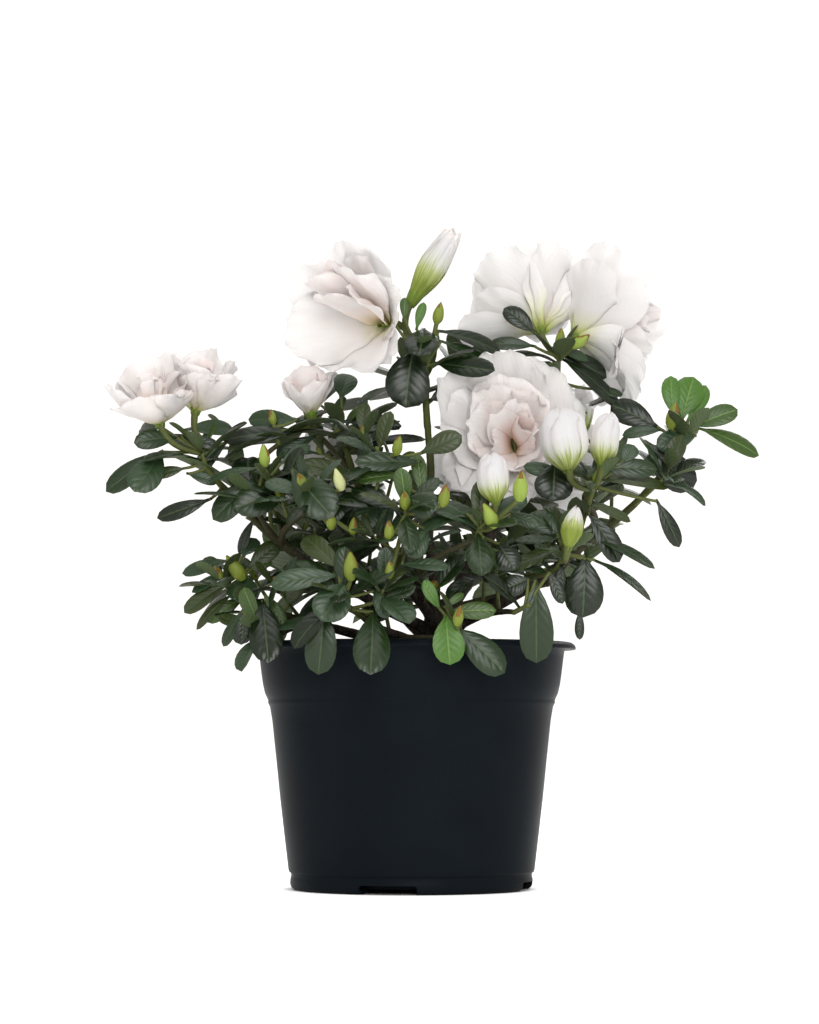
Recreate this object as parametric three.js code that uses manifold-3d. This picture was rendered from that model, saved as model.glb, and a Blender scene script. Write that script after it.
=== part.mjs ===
// Florist's azalea in bloom, standing in its plastic nursery pot.
// Millimetres, +Z up. The origin is the middle of the pot's underside, and the plant's front faces -Y.
import * as THREE from 'three';
import { mergeVertices } from 'three/addons/utils/BufferGeometryUtils.js';
import Module from 'manifold-3d';

const wasm = await Module();
wasm.setup();

// Driving dimensions
const GAP = 0.35; // clear space kept between neighbouring pieces
const RIM_R = 65; // the pot is the standard 13 cm azalea size, measured over its rim
const POT_H = 97;
const WALL = 1.1;
const STEP_Z = 73.3; // height of the ring where the pot's collar narrows to its body
const FOOT_R = 47.8;
const CHANNEL_H = 4; // how far the pot's floor is raised between its foot and its middle
const SLOT_H = 3.5; // drainage slots through the pot's bottom edge
const SLOT_ARC = 28; // degrees
const SLOT_BEARINGS = [-101.5, -11.5, 78.5, 168.5];
const COMPOST_Z = 86; // level of the compost round the stem
const STEM = { x: 11, y: 0, height: 23, lean: 2, foot: 8.5, top: 4.6 };
const BOUGH_THICK = 2.7; // radius of a bough where it leaves the stem
const BOUGH_THIN = 1.3; // and where it enters its leaves

const COLOURS = {
  pot: { color: '#1c2126', roughness: 0.55 },
  compost: { color: '#2b211a', roughness: 1 },
  bark: { color: '#4a4034', roughness: 0.9 },
  leaf: { color: '#33452f', roughness: 0.5 },
  petal: { color: '#f3ebe9', roughness: 0.7 },
  bud: { color: '#dfe3bd', roughness: 0.65 },
};

const radians = THREE.MathUtils.degToRad;
const up = new THREE.Vector3(0, 0, 1);
const shrub = new THREE.Group();

// Every call gives the next of a fixed run of numbers from 0 to 1, so that the plant grows the same each time.
function dice(seed) {
  let state = seed * 7919 + 17;
  return () => {
    state = (state * 16807) % 2147483647;
    return state / 2147483647;
  };
}

// ---------------------------------------------------------------- solids
function toSolid(geometry) {
  const bare = geometry.clone();
  bare.deleteAttribute('normal');
  bare.deleteAttribute('uv');
  const merged = mergeVertices(bare, 1e-3);
  const vertProperties = new Float32Array(merged.attributes.position.array);
  const triVerts = new Uint32Array(merged.index.array);
  return new wasm.Manifold(new wasm.Mesh({ numProp: 3, vertProperties, triVerts }));
}

function toGeometry(solid) {
  const { vertProperties, triVerts } = solid.getMesh();
  const geometry = new THREE.BufferGeometry();
  geometry.setAttribute('position', new THREE.BufferAttribute(vertProperties, 3));
  geometry.setIndex(new THREE.BufferAttribute(triVerts, 1));
  geometry.computeVertexNormals();
  return geometry;
}

// A cut can leave crumbs. Only the largest lump is kept.
function largestLump(solid) {
  return solid.decompose().sort((a, b) => b.volume() - a.volume())[0];
}

function addPiece(name, geometry, look) {
  const mesh = new THREE.Mesh(geometry, new THREE.MeshStandardMaterial(COLOURS[look]));
  mesh.name = name;
  shrub.add(mesh);
}

// The room that each finished piece takes up, its gap included. A later piece is cut back from those it would meet.
const taken = [];

function addCutPiece(name, look, make) {
  const whole = toSolid(make(0));
  const roomy = toSolid(make(GAP));
  const near = taken.filter((room) => !room.intersect(whole).isEmpty());
  const cut = near.reduce((solid, room) => solid.subtract(room), whole);
  addPiece(name, toGeometry(largestLump(cut)), look);
  taken.push(roomy);
}

// ---------------------------------------------------------------- places
// A place on the plant is told from the stem: a bearing (0 is to the right, 90 to the back), a reach and a height.
function place(bearing, reach, height) {
  const angle = radians(bearing);
  return new THREE.Vector3(STEM.x + reach * Math.cos(angle), STEM.y + reach * Math.sin(angle), height);
}

// A heading: the bearing it faces and how far it tips over from straight up.
function heading(bearing, tip) {
  const across = Math.sin(radians(tip));
  const angle = radians(bearing);
  return new THREE.Vector3(across * Math.cos(angle), across * Math.sin(angle), Math.cos(radians(tip)));
}

function stand(geometry, direction, at) {
  geometry.applyQuaternion(new THREE.Quaternion().setFromUnitVectors(up, direction));
  geometry.translate(at.x, at.y, at.z);
  return geometry;
}

// Moves each vertex of a geometry to where shape(x, y, z) says.
function reshape(geometry, shape) {
  const position = geometry.attributes.position;
  for (let i = 0; i < position.count; i += 1) {
    position.setXYZ(i, ...shape(position.getX(i), position.getY(i), position.getZ(i)));
  }
  return geometry;
}

// ---------------------------------------------------------------- pot
// One thin wall from the middle of the underside, up the outside, over the down-turned rim and down the inside.
function potProfile() {
  const outside = [
    [0, 0], [18, 0], [20, CHANNEL_H], [39, CHANNEL_H], [41, 0], [45.6, 0], [FOOT_R, 2.6],
    [47.4, 6.3], [48.5, 7.9], [56.3, STEP_Z], [57.9, 76.6], [60.6, 94], [RIM_R, 94], [RIM_R, 95.4],
    [63.6, POT_H], [61, POT_H],
  ];
  const inside = [
    [56.8, 76.8], [55.2, STEP_Z], [47.3, 7.9], [46.2, 3], [44.6, WALL], [41.8, WALL],
    [39.7, CHANNEL_H + WALL], [19.3, CHANNEL_H + WALL], [17.4, WALL], [0, WALL],
  ];
  return [...outside, ...inside].map(([r, z]) => new THREE.Vector2(r, z));
}

function turned(profile, segments) {
  return new THREE.LatheGeometry(profile, segments).rotateX(Math.PI / 2);
}

function drainageSlot(bearing) {
  const half = radians(SLOT_ARC / 2);
  const sector = new THREE.Shape();
  sector.absarc(0, 0, RIM_R, -half, half, false);
  sector.absarc(0, 0, 40, half, -half, true);
  const geometry = new THREE.ExtrudeGeometry(sector, { depth: SLOT_H + 1, bevelEnabled: false, curveSegments: 3 });
  return geometry.translate(0, 0, -1).rotateZ(radians(bearing));
}

const potShell = SLOT_BEARINGS.reduce(
  (shell, bearing) => shell.subtract(toSolid(drainageSlot(bearing))),
  toSolid(turned(potProfile(), 32)),
);
addPiece('pot', toGeometry(potShell), 'pot');

// The root ball fills the pot from its raised floor to a finger's width below the rim.
const rootBallProfile = [
  [0, 5.6], [45.6, 5.6], [46.6, 7.9], [54.4, STEP_Z], [56, 77], [57, 83.6], [48, 84.6], [30, COMPOST_Z],
  [0, COMPOST_Z],
];
addPiece('root_ball', turned(rootBallProfile.map(([r, z]) => new THREE.Vector2(r, z)), 20), 'compost');

// Leaves that hang over the rim or lie on the compost are cut back to clear both.
const potRoom = [
  [0, 0], [FOOT_R + GAP, 0], [60.6 + GAP, 92.6], [RIM_R + GAP, 92.6], [RIM_R + GAP, POT_H + GAP],
  [61 - GAP, POT_H + GAP], [57.6, 84.4], [48, 85], [30, COMPOST_Z + GAP / 2], [0, COMPOST_Z + GAP / 2],
];
taken.push(toSolid(turned(potRoom.map(([r, z]) => new THREE.Vector2(r, z)), 36)));

// ---------------------------------------------------------------- blooms and buds
// A double bloom: a short funnel that opens to a waved, five-lobed face. It starts at its calyx and looks along +Z.
function bloomGeometry({ spread, depth, seed, close = 0 }, grow) {
  const roll = dice(seed);
  const [turn, second] = [roll() * Math.PI * 2, roll() * Math.PI * 2];
  const stations = [[0, 0], [0.3, 0.12], [0.78, 0.42], [1 - close, 0.8], [0.6 - close / 2, 1], [0, 0.86]];
  const geometry = new THREE.SphereGeometry(1, 15, stations.length - 1, Math.PI / 2).rotateX(Math.PI / 2);
  return reshape(geometry, (x, y, z) => {
    const row = Math.round(((stations.length - 1) * Math.acos(THREE.MathUtils.clamp(-z, -1, 1))) / Math.PI);
    const angle = Math.atan2(y, x);
    const [out, along] = stations[row];
    const wave = 1 + 0.09 * Math.cos(5 * angle + turn) + 0.04 * Math.cos(8 * angle + second);
    const radius = out * (spread * (out > 0.5 ? wave : 1) + grow);
    const curl = 0.07 * depth * out * Math.sin(5 * angle + second);
    const lift = row === 0 ? -grow : row === stations.length - 1 ? grow : (along - 0.5) * 2 * grow;
    return [radius * Math.cos(angle), radius * Math.sin(angle), along * depth + curl + lift];
  });
}

// A bud is a plump drop, blunt at its tip.
function budGeometry({ spread, depth }, grow) {
  const profile = [[0, 0], [0.55, 0.1], [0.95, 0.38], [0.9, 0.66], [0.5, 0.93], [0, 1]];
  const points = profile.map(([out, along]) => {
    return new THREE.Vector2(out * (spread + grow), along * (depth + 2 * grow) - grow);
  });
  return turned(points, 8);
}

// at: bearing, reach and height of the calyx. faces: bearing, and tip from upright.
const BLOOMS = [
  { name: 'bloom_left_outer', at: [-171, 111, 182], faces: [200, 14], spread: 20, depth: 28, close: 0.1 },
  { name: 'bloom_left_inner', at: [-173.5, 97, 187.5], faces: [40, 14], spread: 17, depth: 25, close: 0.1 },
  { name: 'bloom_upper_left', at: [180, 19, 225], faces: [-132, 92], spread: 29, depth: 38 },
  { name: 'bloom_half_open', at: [-173, 51, 186], faces: [-130, 12], spread: 12.5, depth: 23, close: 0.15 },
  { name: 'bloom_top', at: [17, 43, 222], faces: [98, 42], spread: 29, depth: 32 },
  { name: 'bloom_top_right', at: [12, 55, 220], faces: [12, 80], spread: 31, depth: 33 },
  { name: 'bloom_centre', at: [22, 33, 175], faces: [-94, 84], spread: 34, depth: 38 },
  { name: 'bloom_back', at: [60, 62, 165], faces: [75, 66], spread: 30, depth: 36 },
  { name: 'bloom_back_left', at: [132, 52, 153], faces: [130, 56], spread: 25, depth: 33 },
];
const BUDS = [
  { name: 'bud_tall', at: [172, 11.5, 232.5], faces: [-12, 31], spread: 7.6, depth: 37 },
  { name: 'bud_pair_left', at: [-41, 65, 162], faces: [150, 8], spread: 9.6, depth: 28 },
  { name: 'bud_pair_right', at: [-30, 72, 164], faces: [20, 8], spread: 6.2, depth: 25 },
  { name: 'bud_front', at: [-71.5, 65, 148], faces: [170, 5], spread: 6.8, depth: 21 },
  { name: 'bud_low_right', at: [-52, 78, 131], faces: [10, 12], spread: 4.8, depth: 17 },
  { name: 'bud_back', at: [46, 80, 182], faces: [50, 20], spread: 6.5, depth: 26 },
];

BLOOMS.forEach((bloom, seed) => {
  const make = (grow) => stand(bloomGeometry({ ...bloom, seed: seed + 1 }, grow), heading(...bloom.faces), place(...bloom.at));
  addCutPiece(bloom.name, 'petal', make);
});
BUDS.forEach((bud) => {
  addCutPiece(bud.name, 'bud', (grow) => stand(budGeometry(bud, grow), heading(...bud.faces), place(...bud.at)));
});

// ---------------------------------------------------------------- stem
// A limb is a cylinder bent along a curve, with its radius told at each share of the way.
function limbGeometry(curve, sides, steps, radiusAt) {
  const frames = curve.computeFrenetFrames(steps, false);
  const geometry = new THREE.CylinderGeometry(1, 1, 1, sides, steps);
  return reshape(geometry, (x, y, z) => {
    const step = Math.round((y + 0.5) * steps);
    const share = step / steps;
    const radius = radiusAt(share);
    const point = curve.getPointAt(share);
    point.addScaledVector(frames.normals[step], z * radius);
    point.addScaledVector(frames.binormals[step], x * radius);
    return point.toArray();
  });
}

const stemFoot = new THREE.Vector3(STEM.x, STEM.y, COMPOST_Z + GAP);
const stemTop = stemFoot.clone().add(new THREE.Vector3(-STEM.lean, 0, STEM.height));
const stemLine = new THREE.LineCurve3(stemFoot, stemTop);

// The stem flares into its roots at the compost. Its foot is a flat cut.
function stemGeometry(grow) {
  return limbGeometry(stemLine, 8, 5, (share) => {
    const flare = (STEM.foot - STEM.top) * (1 - share) ** 6;
    return STEM.top + 0.9 * (1 - share) + flare * 0.75 + grow;
  });
}
addCutPiece('trunk', 'bark', stemGeometry);

// ---------------------------------------------------------------- leaf masses
// Azalea leaves sit in whorls at the ends of the twigs. Each mass is a shallow star with a blunt point to each leaf.
function whorlGeometry({ leaves, spread, depth, droop = 0.25, seed }, grow) {
  const roll = dice(seed);
  const points = Array.from({ length: leaves }, () => 0.86 + 0.22 * roll());
  const notches = Array.from({ length: leaves }, () => 0.7 + 0.14 * roll());
  const rows = 4;
  const geometry = new THREE.SphereGeometry(1, leaves * 2, rows).rotateX(Math.PI / 2);
  return reshape(geometry, (x, y, z) => {
    const spoke = (Math.round((Math.atan2(y, x) * leaves) / Math.PI) + leaves * 2) % (leaves * 2);
    const length = spoke % 2 ? notches[(spoke - 1) / 2] : points[spoke / 2];
    const out = Math.hypot(x, y) * length;
    const radius = out * (spread + grow);
    const angle = Math.atan2(y, x);
    const sag = droop * spread * out * out;
    return [radius * Math.cos(angle), radius * Math.sin(angle), z * (depth / 2 + grow) - sag];
  });
}

// at: bearing, reach and height of the middle. faces: bearing, and tip from upright.
const MASSES = [
  { name: 'leaves_crest', at: [-175, 9, 209], faces: [-90, 12], leaves: 8, spread: 27, depth: 17, droop: 0.4 },
  { name: 'leaves_half_open', at: [178, 38, 181], faces: [150, 10], leaves: 8, spread: 27, depth: 18 },
  { name: 'leaves_upper_left', at: [-174, 70, 180], faces: [190, 14], leaves: 8, spread: 24, depth: 14 },
  { name: 'leaves_left_tip', at: [-171, 102, 172], faces: [195, 14], leaves: 9, spread: 30, depth: 17, droop: 0.5 },
  { name: 'leaves_left_shoulder', at: [-161, 78, 155], faces: [195, 20], leaves: 8, spread: 25, depth: 20, droop: 0.5 },
  { name: 'leaves_left_front', at: [-133, 66, 152], faces: [-130, 50], leaves: 9, spread: 28, depth: 18 },
  { name: 'leaves_left_low', at: [-172, 86, 121], faces: [190, 35], leaves: 9, spread: 28, depth: 18, droop: 0.4 },
  { name: 'leaves_left_rim', at: [-154, 77, 104], faces: [-150, 55], leaves: 8, spread: 23, depth: 16, droop: 0.4 },
  { name: 'leaves_front_left', at: [-119, 73, 115], faces: [-113, 52], leaves: 9, spread: 29, depth: 18, droop: 0.4 },
  { name: 'leaves_front_middle', at: [-98, 58, 146], faces: [-95, 50], leaves: 8, spread: 26, depth: 17 },
  { name: 'leaves_front_right', at: [-70, 58, 138], faces: [-80, 45], leaves: 8, spread: 25, depth: 18 },
  { name: 'leaves_middle', at: [-126, 38, 170], faces: [-110, 30], leaves: 7, spread: 21, depth: 13 },
  { name: 'leaves_over_rim', at: [-83, 67, 103], faces: [-85, 50], leaves: 8, spread: 22, depth: 15, droop: 0.4 },
  { name: 'leaves_over_rim_right', at: [-58, 68, 108], faces: [-55, 75], leaves: 7, spread: 22, depth: 14, droop: 0.3 },
  { name: 'leaves_right_low', at: [-36, 70, 131], faces: [-35, 30], leaves: 9, spread: 31, depth: 18, droop: 0.5 },
  { name: 'leaves_right_shoulder', at: [-28, 73, 155], faces: [-20, 18], leaves: 9, spread: 30, depth: 15, droop: 0.3 },
  { name: 'leaves_right_tip', at: [0, 99, 180], faces: [0, 25], leaves: 9, spread: 37, depth: 19, droop: 0.3 },
  { name: 'leaves_upper_right', at: [12, 46, 212], faces: [-70, 8], leaves: 8, spread: 30, depth: 15, droop: 0.3 },
  { name: 'leaves_right_back_low', at: [36, 76, 131], faces: [32, 45], leaves: 8, spread: 28, depth: 18, droop: 0.4 },
  { name: 'leaves_right_back', at: [42, 92, 164], faces: [40, 35], leaves: 9, spread: 31, depth: 20, droop: 0.3 },
  { name: 'leaves_back_right_low', at: [64, 74, 128], faces: [60, 45], leaves: 8, spread: 28, depth: 18, droop: 0.4 },
  { name: 'leaves_back_right_high', at: [48, 52, 196], faces: [50, 25], leaves: 8, spread: 27, depth: 18 },
  { name: 'leaves_back', at: [80, 102, 144], faces: [82, 45], leaves: 9, spread: 30, depth: 18, droop: 0.4 },
  { name: 'leaves_back_low', at: [100, 78, 118], faces: [100, 55], leaves: 8, spread: 26, depth: 17, droop: 0.4 },
  { name: 'leaves_back_high', at: [104, 40, 201], faces: [110, 20], leaves: 8, spread: 26, depth: 15 },
  { name: 'leaves_back_left', at: [119, 97, 158], faces: [119, 38], leaves: 9, spread: 29, depth: 18, droop: 0.3 },
  { name: 'leaves_back_left_low', at: [136, 84, 127], faces: [136, 45], leaves: 8, spread: 28, depth: 18, droop: 0.4 },
  { name: 'leaves_left_back', at: [147, 86, 155], faces: [150, 35], leaves: 9, spread: 29, depth: 17, droop: 0.4 },
  { name: 'leaves_left_back_high', at: [156, 56, 192], faces: [150, 25], leaves: 8, spread: 25, depth: 15 },
];
MASSES.forEach((mass, seed) => {
  const make = (grow) => stand(whorlGeometry({ ...mass, seed: seed + 20 }, grow), heading(...mass.faces), place(...mass.at));
  addCutPiece(mass.name, 'leaf', make);
});

// ---------------------------------------------------------------- main boughs
// Each bough leaves the stem at its own level, runs outward first and then turns up into its leaves. The low one
// on the right arches up first and runs level after that.
const BOUGH_CLIMB = 0.36; // share of its climb that a bough has made by its bend
const BOUGHS = [
  { name: 'bough_crest', to: 'leaves_crest', level: 0.96 },
  { name: 'bough_upper_left', to: 'leaves_half_open', level: 0.84 },
  { name: 'bough_upper_right', to: 'leaves_upper_right', level: 0.9 },
  { name: 'bough_back_right', to: 'leaves_back_right_high', level: 0.78 },
  { name: 'bough_left', to: 'leaves_left_tip', level: 0.66 },
  { name: 'bough_right', to: 'leaves_right_tip', level: 0.62 },
  { name: 'bough_back', to: 'leaves_back', level: 0.6 },
  { name: 'bough_front', to: 'leaves_front_middle', level: 0.64 },
  { name: 'bough_left_low', to: 'leaves_left_low', level: 0.4 },
  { name: 'bough_right_low', to: 'leaves_right_low', level: 0.42, climb: 0.9 },
  { name: 'bough_back_left', to: 'leaves_back_left', level: 0.44 },
  { name: 'bough_front_left', to: 'leaves_front_left', level: 0.36 },
];

function boughGeometry({ to, level, climb = BOUGH_CLIMB }, grow) {
  const goal = MASSES.find((mass) => mass.name === to).at;
  const start = stemLine.getPoint(level);
  const end = place(...goal);
  const bend = start.clone().lerp(end, 0.62);
  bend.z = start.z + (end.z - start.z) * climb;
  const curve = new THREE.QuadraticBezierCurve3(start, bend, end);
  return limbGeometry(curve, 6, 5, (share) => BOUGH_THICK + (BOUGH_THIN - BOUGH_THICK) * share + grow);
}
BOUGHS.forEach((bough) => {
  addCutPiece(bough.name, 'bark', (grow) => boughGeometry(bough, grow));
});

export default shrub;
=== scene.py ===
# A florist's azalea in bloom, standing in its blue-black plastic nursery pot.
# Metres, +Z up. The pot's underside is at the origin, and the plant's front faces -Y.
import math
import random

import bmesh
import bpy
import numpy as np
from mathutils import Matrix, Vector, noise


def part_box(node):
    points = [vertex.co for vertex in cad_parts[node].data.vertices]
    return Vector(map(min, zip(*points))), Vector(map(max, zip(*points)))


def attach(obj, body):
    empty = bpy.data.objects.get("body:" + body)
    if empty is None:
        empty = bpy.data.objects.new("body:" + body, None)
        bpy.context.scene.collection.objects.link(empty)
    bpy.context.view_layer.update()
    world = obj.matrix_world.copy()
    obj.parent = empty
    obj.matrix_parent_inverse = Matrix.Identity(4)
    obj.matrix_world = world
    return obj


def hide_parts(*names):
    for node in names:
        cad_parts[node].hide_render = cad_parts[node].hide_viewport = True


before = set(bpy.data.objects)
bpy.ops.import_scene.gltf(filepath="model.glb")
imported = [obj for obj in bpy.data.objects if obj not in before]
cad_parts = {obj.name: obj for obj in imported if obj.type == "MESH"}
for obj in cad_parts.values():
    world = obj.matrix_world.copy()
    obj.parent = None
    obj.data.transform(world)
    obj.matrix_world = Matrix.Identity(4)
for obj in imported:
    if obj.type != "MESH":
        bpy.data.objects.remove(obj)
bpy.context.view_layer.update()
MM = 0.001


# ---------------------------------------------------------------- camera, light and floor
# A long lens a little above table height, level with the middle of the pot and tipped up a few degrees. A
# white room lights everything softly. Three round lamps add to it: the largest in front, a little to the
# right and above the lens, one overhead, and one high behind on the right.
LENS_MM = 109.6
CAMERA_AT = (-0.0008, -1.235, 0.064)
CAMERA_UP_DEG = 3.93
LAMPS = (
    # name, place, height of the point it faces, width and watts
    ("key_lamp", (0.2, -1.5, 0.7), 0.18, 1.0, 11.0),
    ("overhead_lamp", (-0.1, -0.1, 1.5), 0.2, 1.1, 4.0),
    ("back_lamp", (0.5, 1.0, 1.0), 0.2, 0.9, 6.0),
)
ROOM_LIGHTS, ROOM_SHOWS = 0.65, 1.15
PAPER_GLOWS, PAPER_SHOWS = 0.25, 0.66
# The round patch of painted shadow under the pot, and the radius where the floor's glow is full again.
SHADOW_PATCH_MM, SHADOW_PATCH_EDGE_MM = 46, 52
FLOOR_RADIUS = 6

camera_data = bpy.data.cameras.new("camera")
camera_data.lens = LENS_MM
camera_data.sensor_width = 36
camera = bpy.data.objects.new("camera", camera_data)
camera.location = CAMERA_AT
camera.rotation_euler = (math.radians(90 + CAMERA_UP_DEG), 0, 0)
bpy.context.collection.objects.link(camera)
bpy.context.scene.camera = camera
bpy.context.scene.view_settings.view_transform = "Standard"


def linear(hex_colour):
    """An sRGB hex colour as linear values with full alpha."""
    parts = [int(hex_colour[i : i + 2], 16) / 255 for i in (1, 3, 5)]
    return [p / 12.92 if p <= 0.04045 else ((p + 0.055) / 1.055) ** 2.4 for p in parts] + [1.0]


def set_sockets(node, **values):
    """Sets a node's sockets by name, with _ for a space."""
    for name, value in values.items():
        node.inputs[name.replace("_", " ")].default_value = value


def add_node(tree, kind, links=(), **settings):
    """Adds a node. Settings named in_0, in_Scale and so on set its sockets, and the rest set the node itself.
    links holds (this node's input, another node's output)."""
    made = tree.nodes.new(kind)
    for name, value in settings.items():
        if name.startswith("in_"):
            key = name[3:].replace("_", " ")
            made.inputs[int(key) if key.isdigit() else key].default_value = value
        else:
            setattr(made, name, value)
    for key, output in links:
        tree.links.new(output, made.inputs[key])
    return made


def new_skin(name):
    """A new material, its node tree and its shader."""
    made = bpy.data.materials.new(name)
    made.use_nodes = True
    return made, made.node_tree, made.node_tree.nodes["Principled BSDF"]


def new_object(name, data):
    made = bpy.data.objects.new(name, data)
    bpy.context.collection.objects.link(made)
    return made


def settled(shape, name):
    """The mesh of a finished bmesh, which is freed."""
    mesh = bpy.data.meshes.new(name)
    shape.to_mesh(mesh)
    shape.free()
    return mesh


def by_camera(tree, otherwise, to_camera):
    """A strength that differs between what the camera sees of a backdrop and what it throws on the object."""
    path = add_node(tree, "ShaderNodeLightPath")
    return add_node(
        tree, "ShaderNodeMapRange", [("Value", path.outputs["Is Camera Ray"])],
        in_To_Min=otherwise, in_To_Max=to_camera,
    ).outputs[0]


for name, at, faces_height, width, watts in LAMPS:
    data = bpy.data.lights.new(name, "AREA")
    data.shape = "DISK"
    data.size = width
    data.energy = watts
    data.color = linear("#ffffff")[:3]
    lamp = new_object(name, data)
    lamp.location = at
    lamp.rotation_euler = (Vector((0, 0, faces_height)) - Vector(at)).to_track_quat("-Z", "Y").to_euler()

world = bpy.data.worlds.new("studio")
bpy.context.scene.world = world
world.use_nodes = True
room = world.node_tree.nodes["Background"]
set_sockets(room, Color=linear("#fffbf8"))
world.node_tree.links.new(by_camera(world.node_tree, ROOM_LIGHTS, ROOM_SHOWS), room.inputs["Strength"])

# White paper. It glows evenly as if lit from below, and throws little of that glow on the plant. Under the
# pot the
# glow fades to nothing over a round patch: a painted shadow, which keeps the floor seen through the drainage
# slots dark.
paper, tree, shader = new_skin("white_paper_sweep")
set_sockets(shader, Base_Color=linear("#f4f4f4"), Roughness=0.9, Emission_Color=linear("#ffffff"))
place = add_node(tree, "ShaderNodeTexCoord")
from_middle = add_node(tree, "ShaderNodeVectorMath", [(0, place.outputs["Object"])], operation="LENGTH")
# The floor's glow, faded to nothing under the pot as a painted shadow.
floor_glow_and_painted_shadow = add_node(
    tree, "ShaderNodeMapRange",
    [("Value", from_middle.outputs["Value"]), ("To Max", by_camera(tree, PAPER_GLOWS, PAPER_SHOWS))],
    in_From_Min=SHADOW_PATCH_MM * MM, in_From_Max=SHADOW_PATCH_EDGE_MM * MM,
)
tree.links.new(floor_glow_and_painted_shadow.outputs[0], shader.inputs["Emission Strength"])
shape = bmesh.new()
bmesh.ops.create_circle(shape, cap_ends=True, radius=FLOOR_RADIUS, segments=64)
floor = new_object("floor", settled(shape, "floor"))
floor.data.materials.append(paper)


# ---------------------------------------------------------------- pot
# A moulded polypropylene nursery pot with a down-turned rim, a collar that steps in a quarter of the way
# down, a raised floor, and four drainage slots through its bottom edge. It is thin, so it is one shell of
# even wall.
POT_PROFILE_MM = [
    # underside, from the middle disc over the raised channel to the foot ring
    (0, 0), (17.6, 0), (18.3, 0.4), (19.6, 3.6), (20.4, 4), (38.6, 4), (39.4, 3.6), (40.8, 0.4), (41.4, 0),
    # foot, rounded bottom corner and the low ring
    (45.2, 0), (46.4, 0.25), (47.3, 0.9), (47.75, 2.0), (47.8, 3.2), (47.65, 4.4), (47.4, 5.6), (47.45, 6.4),
    (48.2, 7.0), (48.5, 7.9), (48.7, 9.6),
    # body, straight up to the step ring
    (50.2, 22), (51.7, 34.9), (53.35, 51), (55.0, 66.4), (55.9, 71.6), (56.35, 72.6), (56.7, 73.3),
    (56.6, 74.0), (56.9, 74.9), (57.9, 77.0), (58.7, 80.5),
    # collar, then the flange that turns out and down under the rim
    (59.3, 84.6), (59.75, 88.2), (60.1, 91.0), (60.5, 93.6), (61.2, 94.3), (63.0, 94.3), (64.4, 94.1),
    (64.8, 94.2), (65.0, 94.6), (64.8, 95.4), (64.2, 96.2), (63.3, 96.8), (62.2, 97), (61.3, 96.8),
    (60.7, 96.1), (60.2, 94.2),
    # inside wall and floor
    (58.6, 87.2), (57.3, 79.6), (55.6, 74.6), (55.2, 73.2), (54.0, 67.4), (50.6, 34.9), (47.4, 8.4),
    (46.6, 5.2), (46.2, 3.0), (44.9, 1.2), (41.9, 1.15), (39.9, 4.6), (38.9, 5.1), (20.1, 5.1), (19.1, 4.6),
    (17.3, 1.15), (0, 1.1),
]
POT_SIDES = 180
POT_CREASE_DEG = 38
SLOT_BEARINGS_DEG = (-101.5, -11.5, 78.5, 168.5)
SLOT_HALF_DEG = 14
SLOT_TOP_MM = 3.5
SLOT_CLIP_MM = 0.9
SLOT_REACH_MM = (40.2, 60)
SLOT_SPOKES = (-1, -0.93, -0.6, -0.3, 0, 0.3, 0.6, 0.93, 1)


def ring_at(shape, radius, height, sides):
    """A ring of points round the Z axis, or a single point on it."""
    if radius == 0:
        return [shape.verts.new((0, 0, height))]
    turns = [2 * math.pi * side / sides for side in range(sides)]
    return [shape.verts.new((radius * math.cos(turn), radius * math.sin(turn), height)) for turn in turns]


def stitch(shape, rings, sides):
    """Faces between each ring of points and the next, closed at an axis point, turned to face outwards."""
    for low, high in zip(rings, rings[1:]):
        for i in range(sides):
            j = (i + 1) % sides
            corners = [low[i % len(low)], low[j % len(low)], high[j % len(high)], high[i % len(high)]]
            shape.faces.new(list(dict.fromkeys(corners)))
    bmesh.ops.recalc_face_normals(shape, faces=shape.faces)


def slot_cutter(bearing_deg):
    """A ring sector as wide and high as one drainage slot, with its two top corners clipped."""
    shape = bmesh.new()
    inner, outer = (reach * MM for reach in SLOT_REACH_MM)
    columns = []
    for share in SLOT_SPOKES:
        top = (SLOT_TOP_MM - SLOT_CLIP_MM if abs(share) == 1 else SLOT_TOP_MM) * MM
        turn = math.radians(bearing_deg + share * SLOT_HALF_DEG)
        corners = []
        for radius, z in ((inner, -MM), (outer, -MM), (outer, top), (inner, top)):
            corners.append(shape.verts.new((radius * math.cos(turn), radius * math.sin(turn), z)))
        columns.append(corners)
    for a, b in zip(columns, columns[1:]):
        for i in range(4):
            j = (i + 1) % 4
            shape.faces.new((a[i], a[j], b[j], b[i]))
    shape.faces.new(columns[0])
    shape.faces.new(columns[-1])
    bmesh.ops.recalc_face_normals(shape, faces=shape.faces)
    return new_object("slot_cutter", settled(shape, "slot_cutter"))


def settled_mesh(piece):
    """The piece's mesh as its modifiers leave it."""
    seen = piece.evaluated_get(bpy.context.evaluated_depsgraph_get())
    return bpy.data.meshes.new_from_object(seen)


shape = bmesh.new()
stitch(shape, [ring_at(shape, r * MM, z * MM, POT_SIDES) for r, z in POT_PROFILE_MM], POT_SIDES)
pot = new_object("nursery_pot", settled(shape, "nursery_pot"))
cutters = [slot_cutter(bearing) for bearing in SLOT_BEARINGS_DEG]
for cutter in cutters:
    cut = pot.modifiers.new("slot", "BOOLEAN")
    cut.operation = "DIFFERENCE"
    cut.object = cutter
    cut.solver = "EXACT"
pot.data = settled_mesh(pot)
pot.modifiers.clear()
for cutter in cutters:
    bpy.data.objects.remove(cutter)
shape = bmesh.new()
shape.from_mesh(pot.data)
for face in shape.faces:
    face.smooth = True
for edge in shape.edges:
    edge.smooth = edge.calc_face_angle(0) < math.radians(POT_CREASE_DEG)
shape.to_mesh(pot.data)
shape.free()

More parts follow.
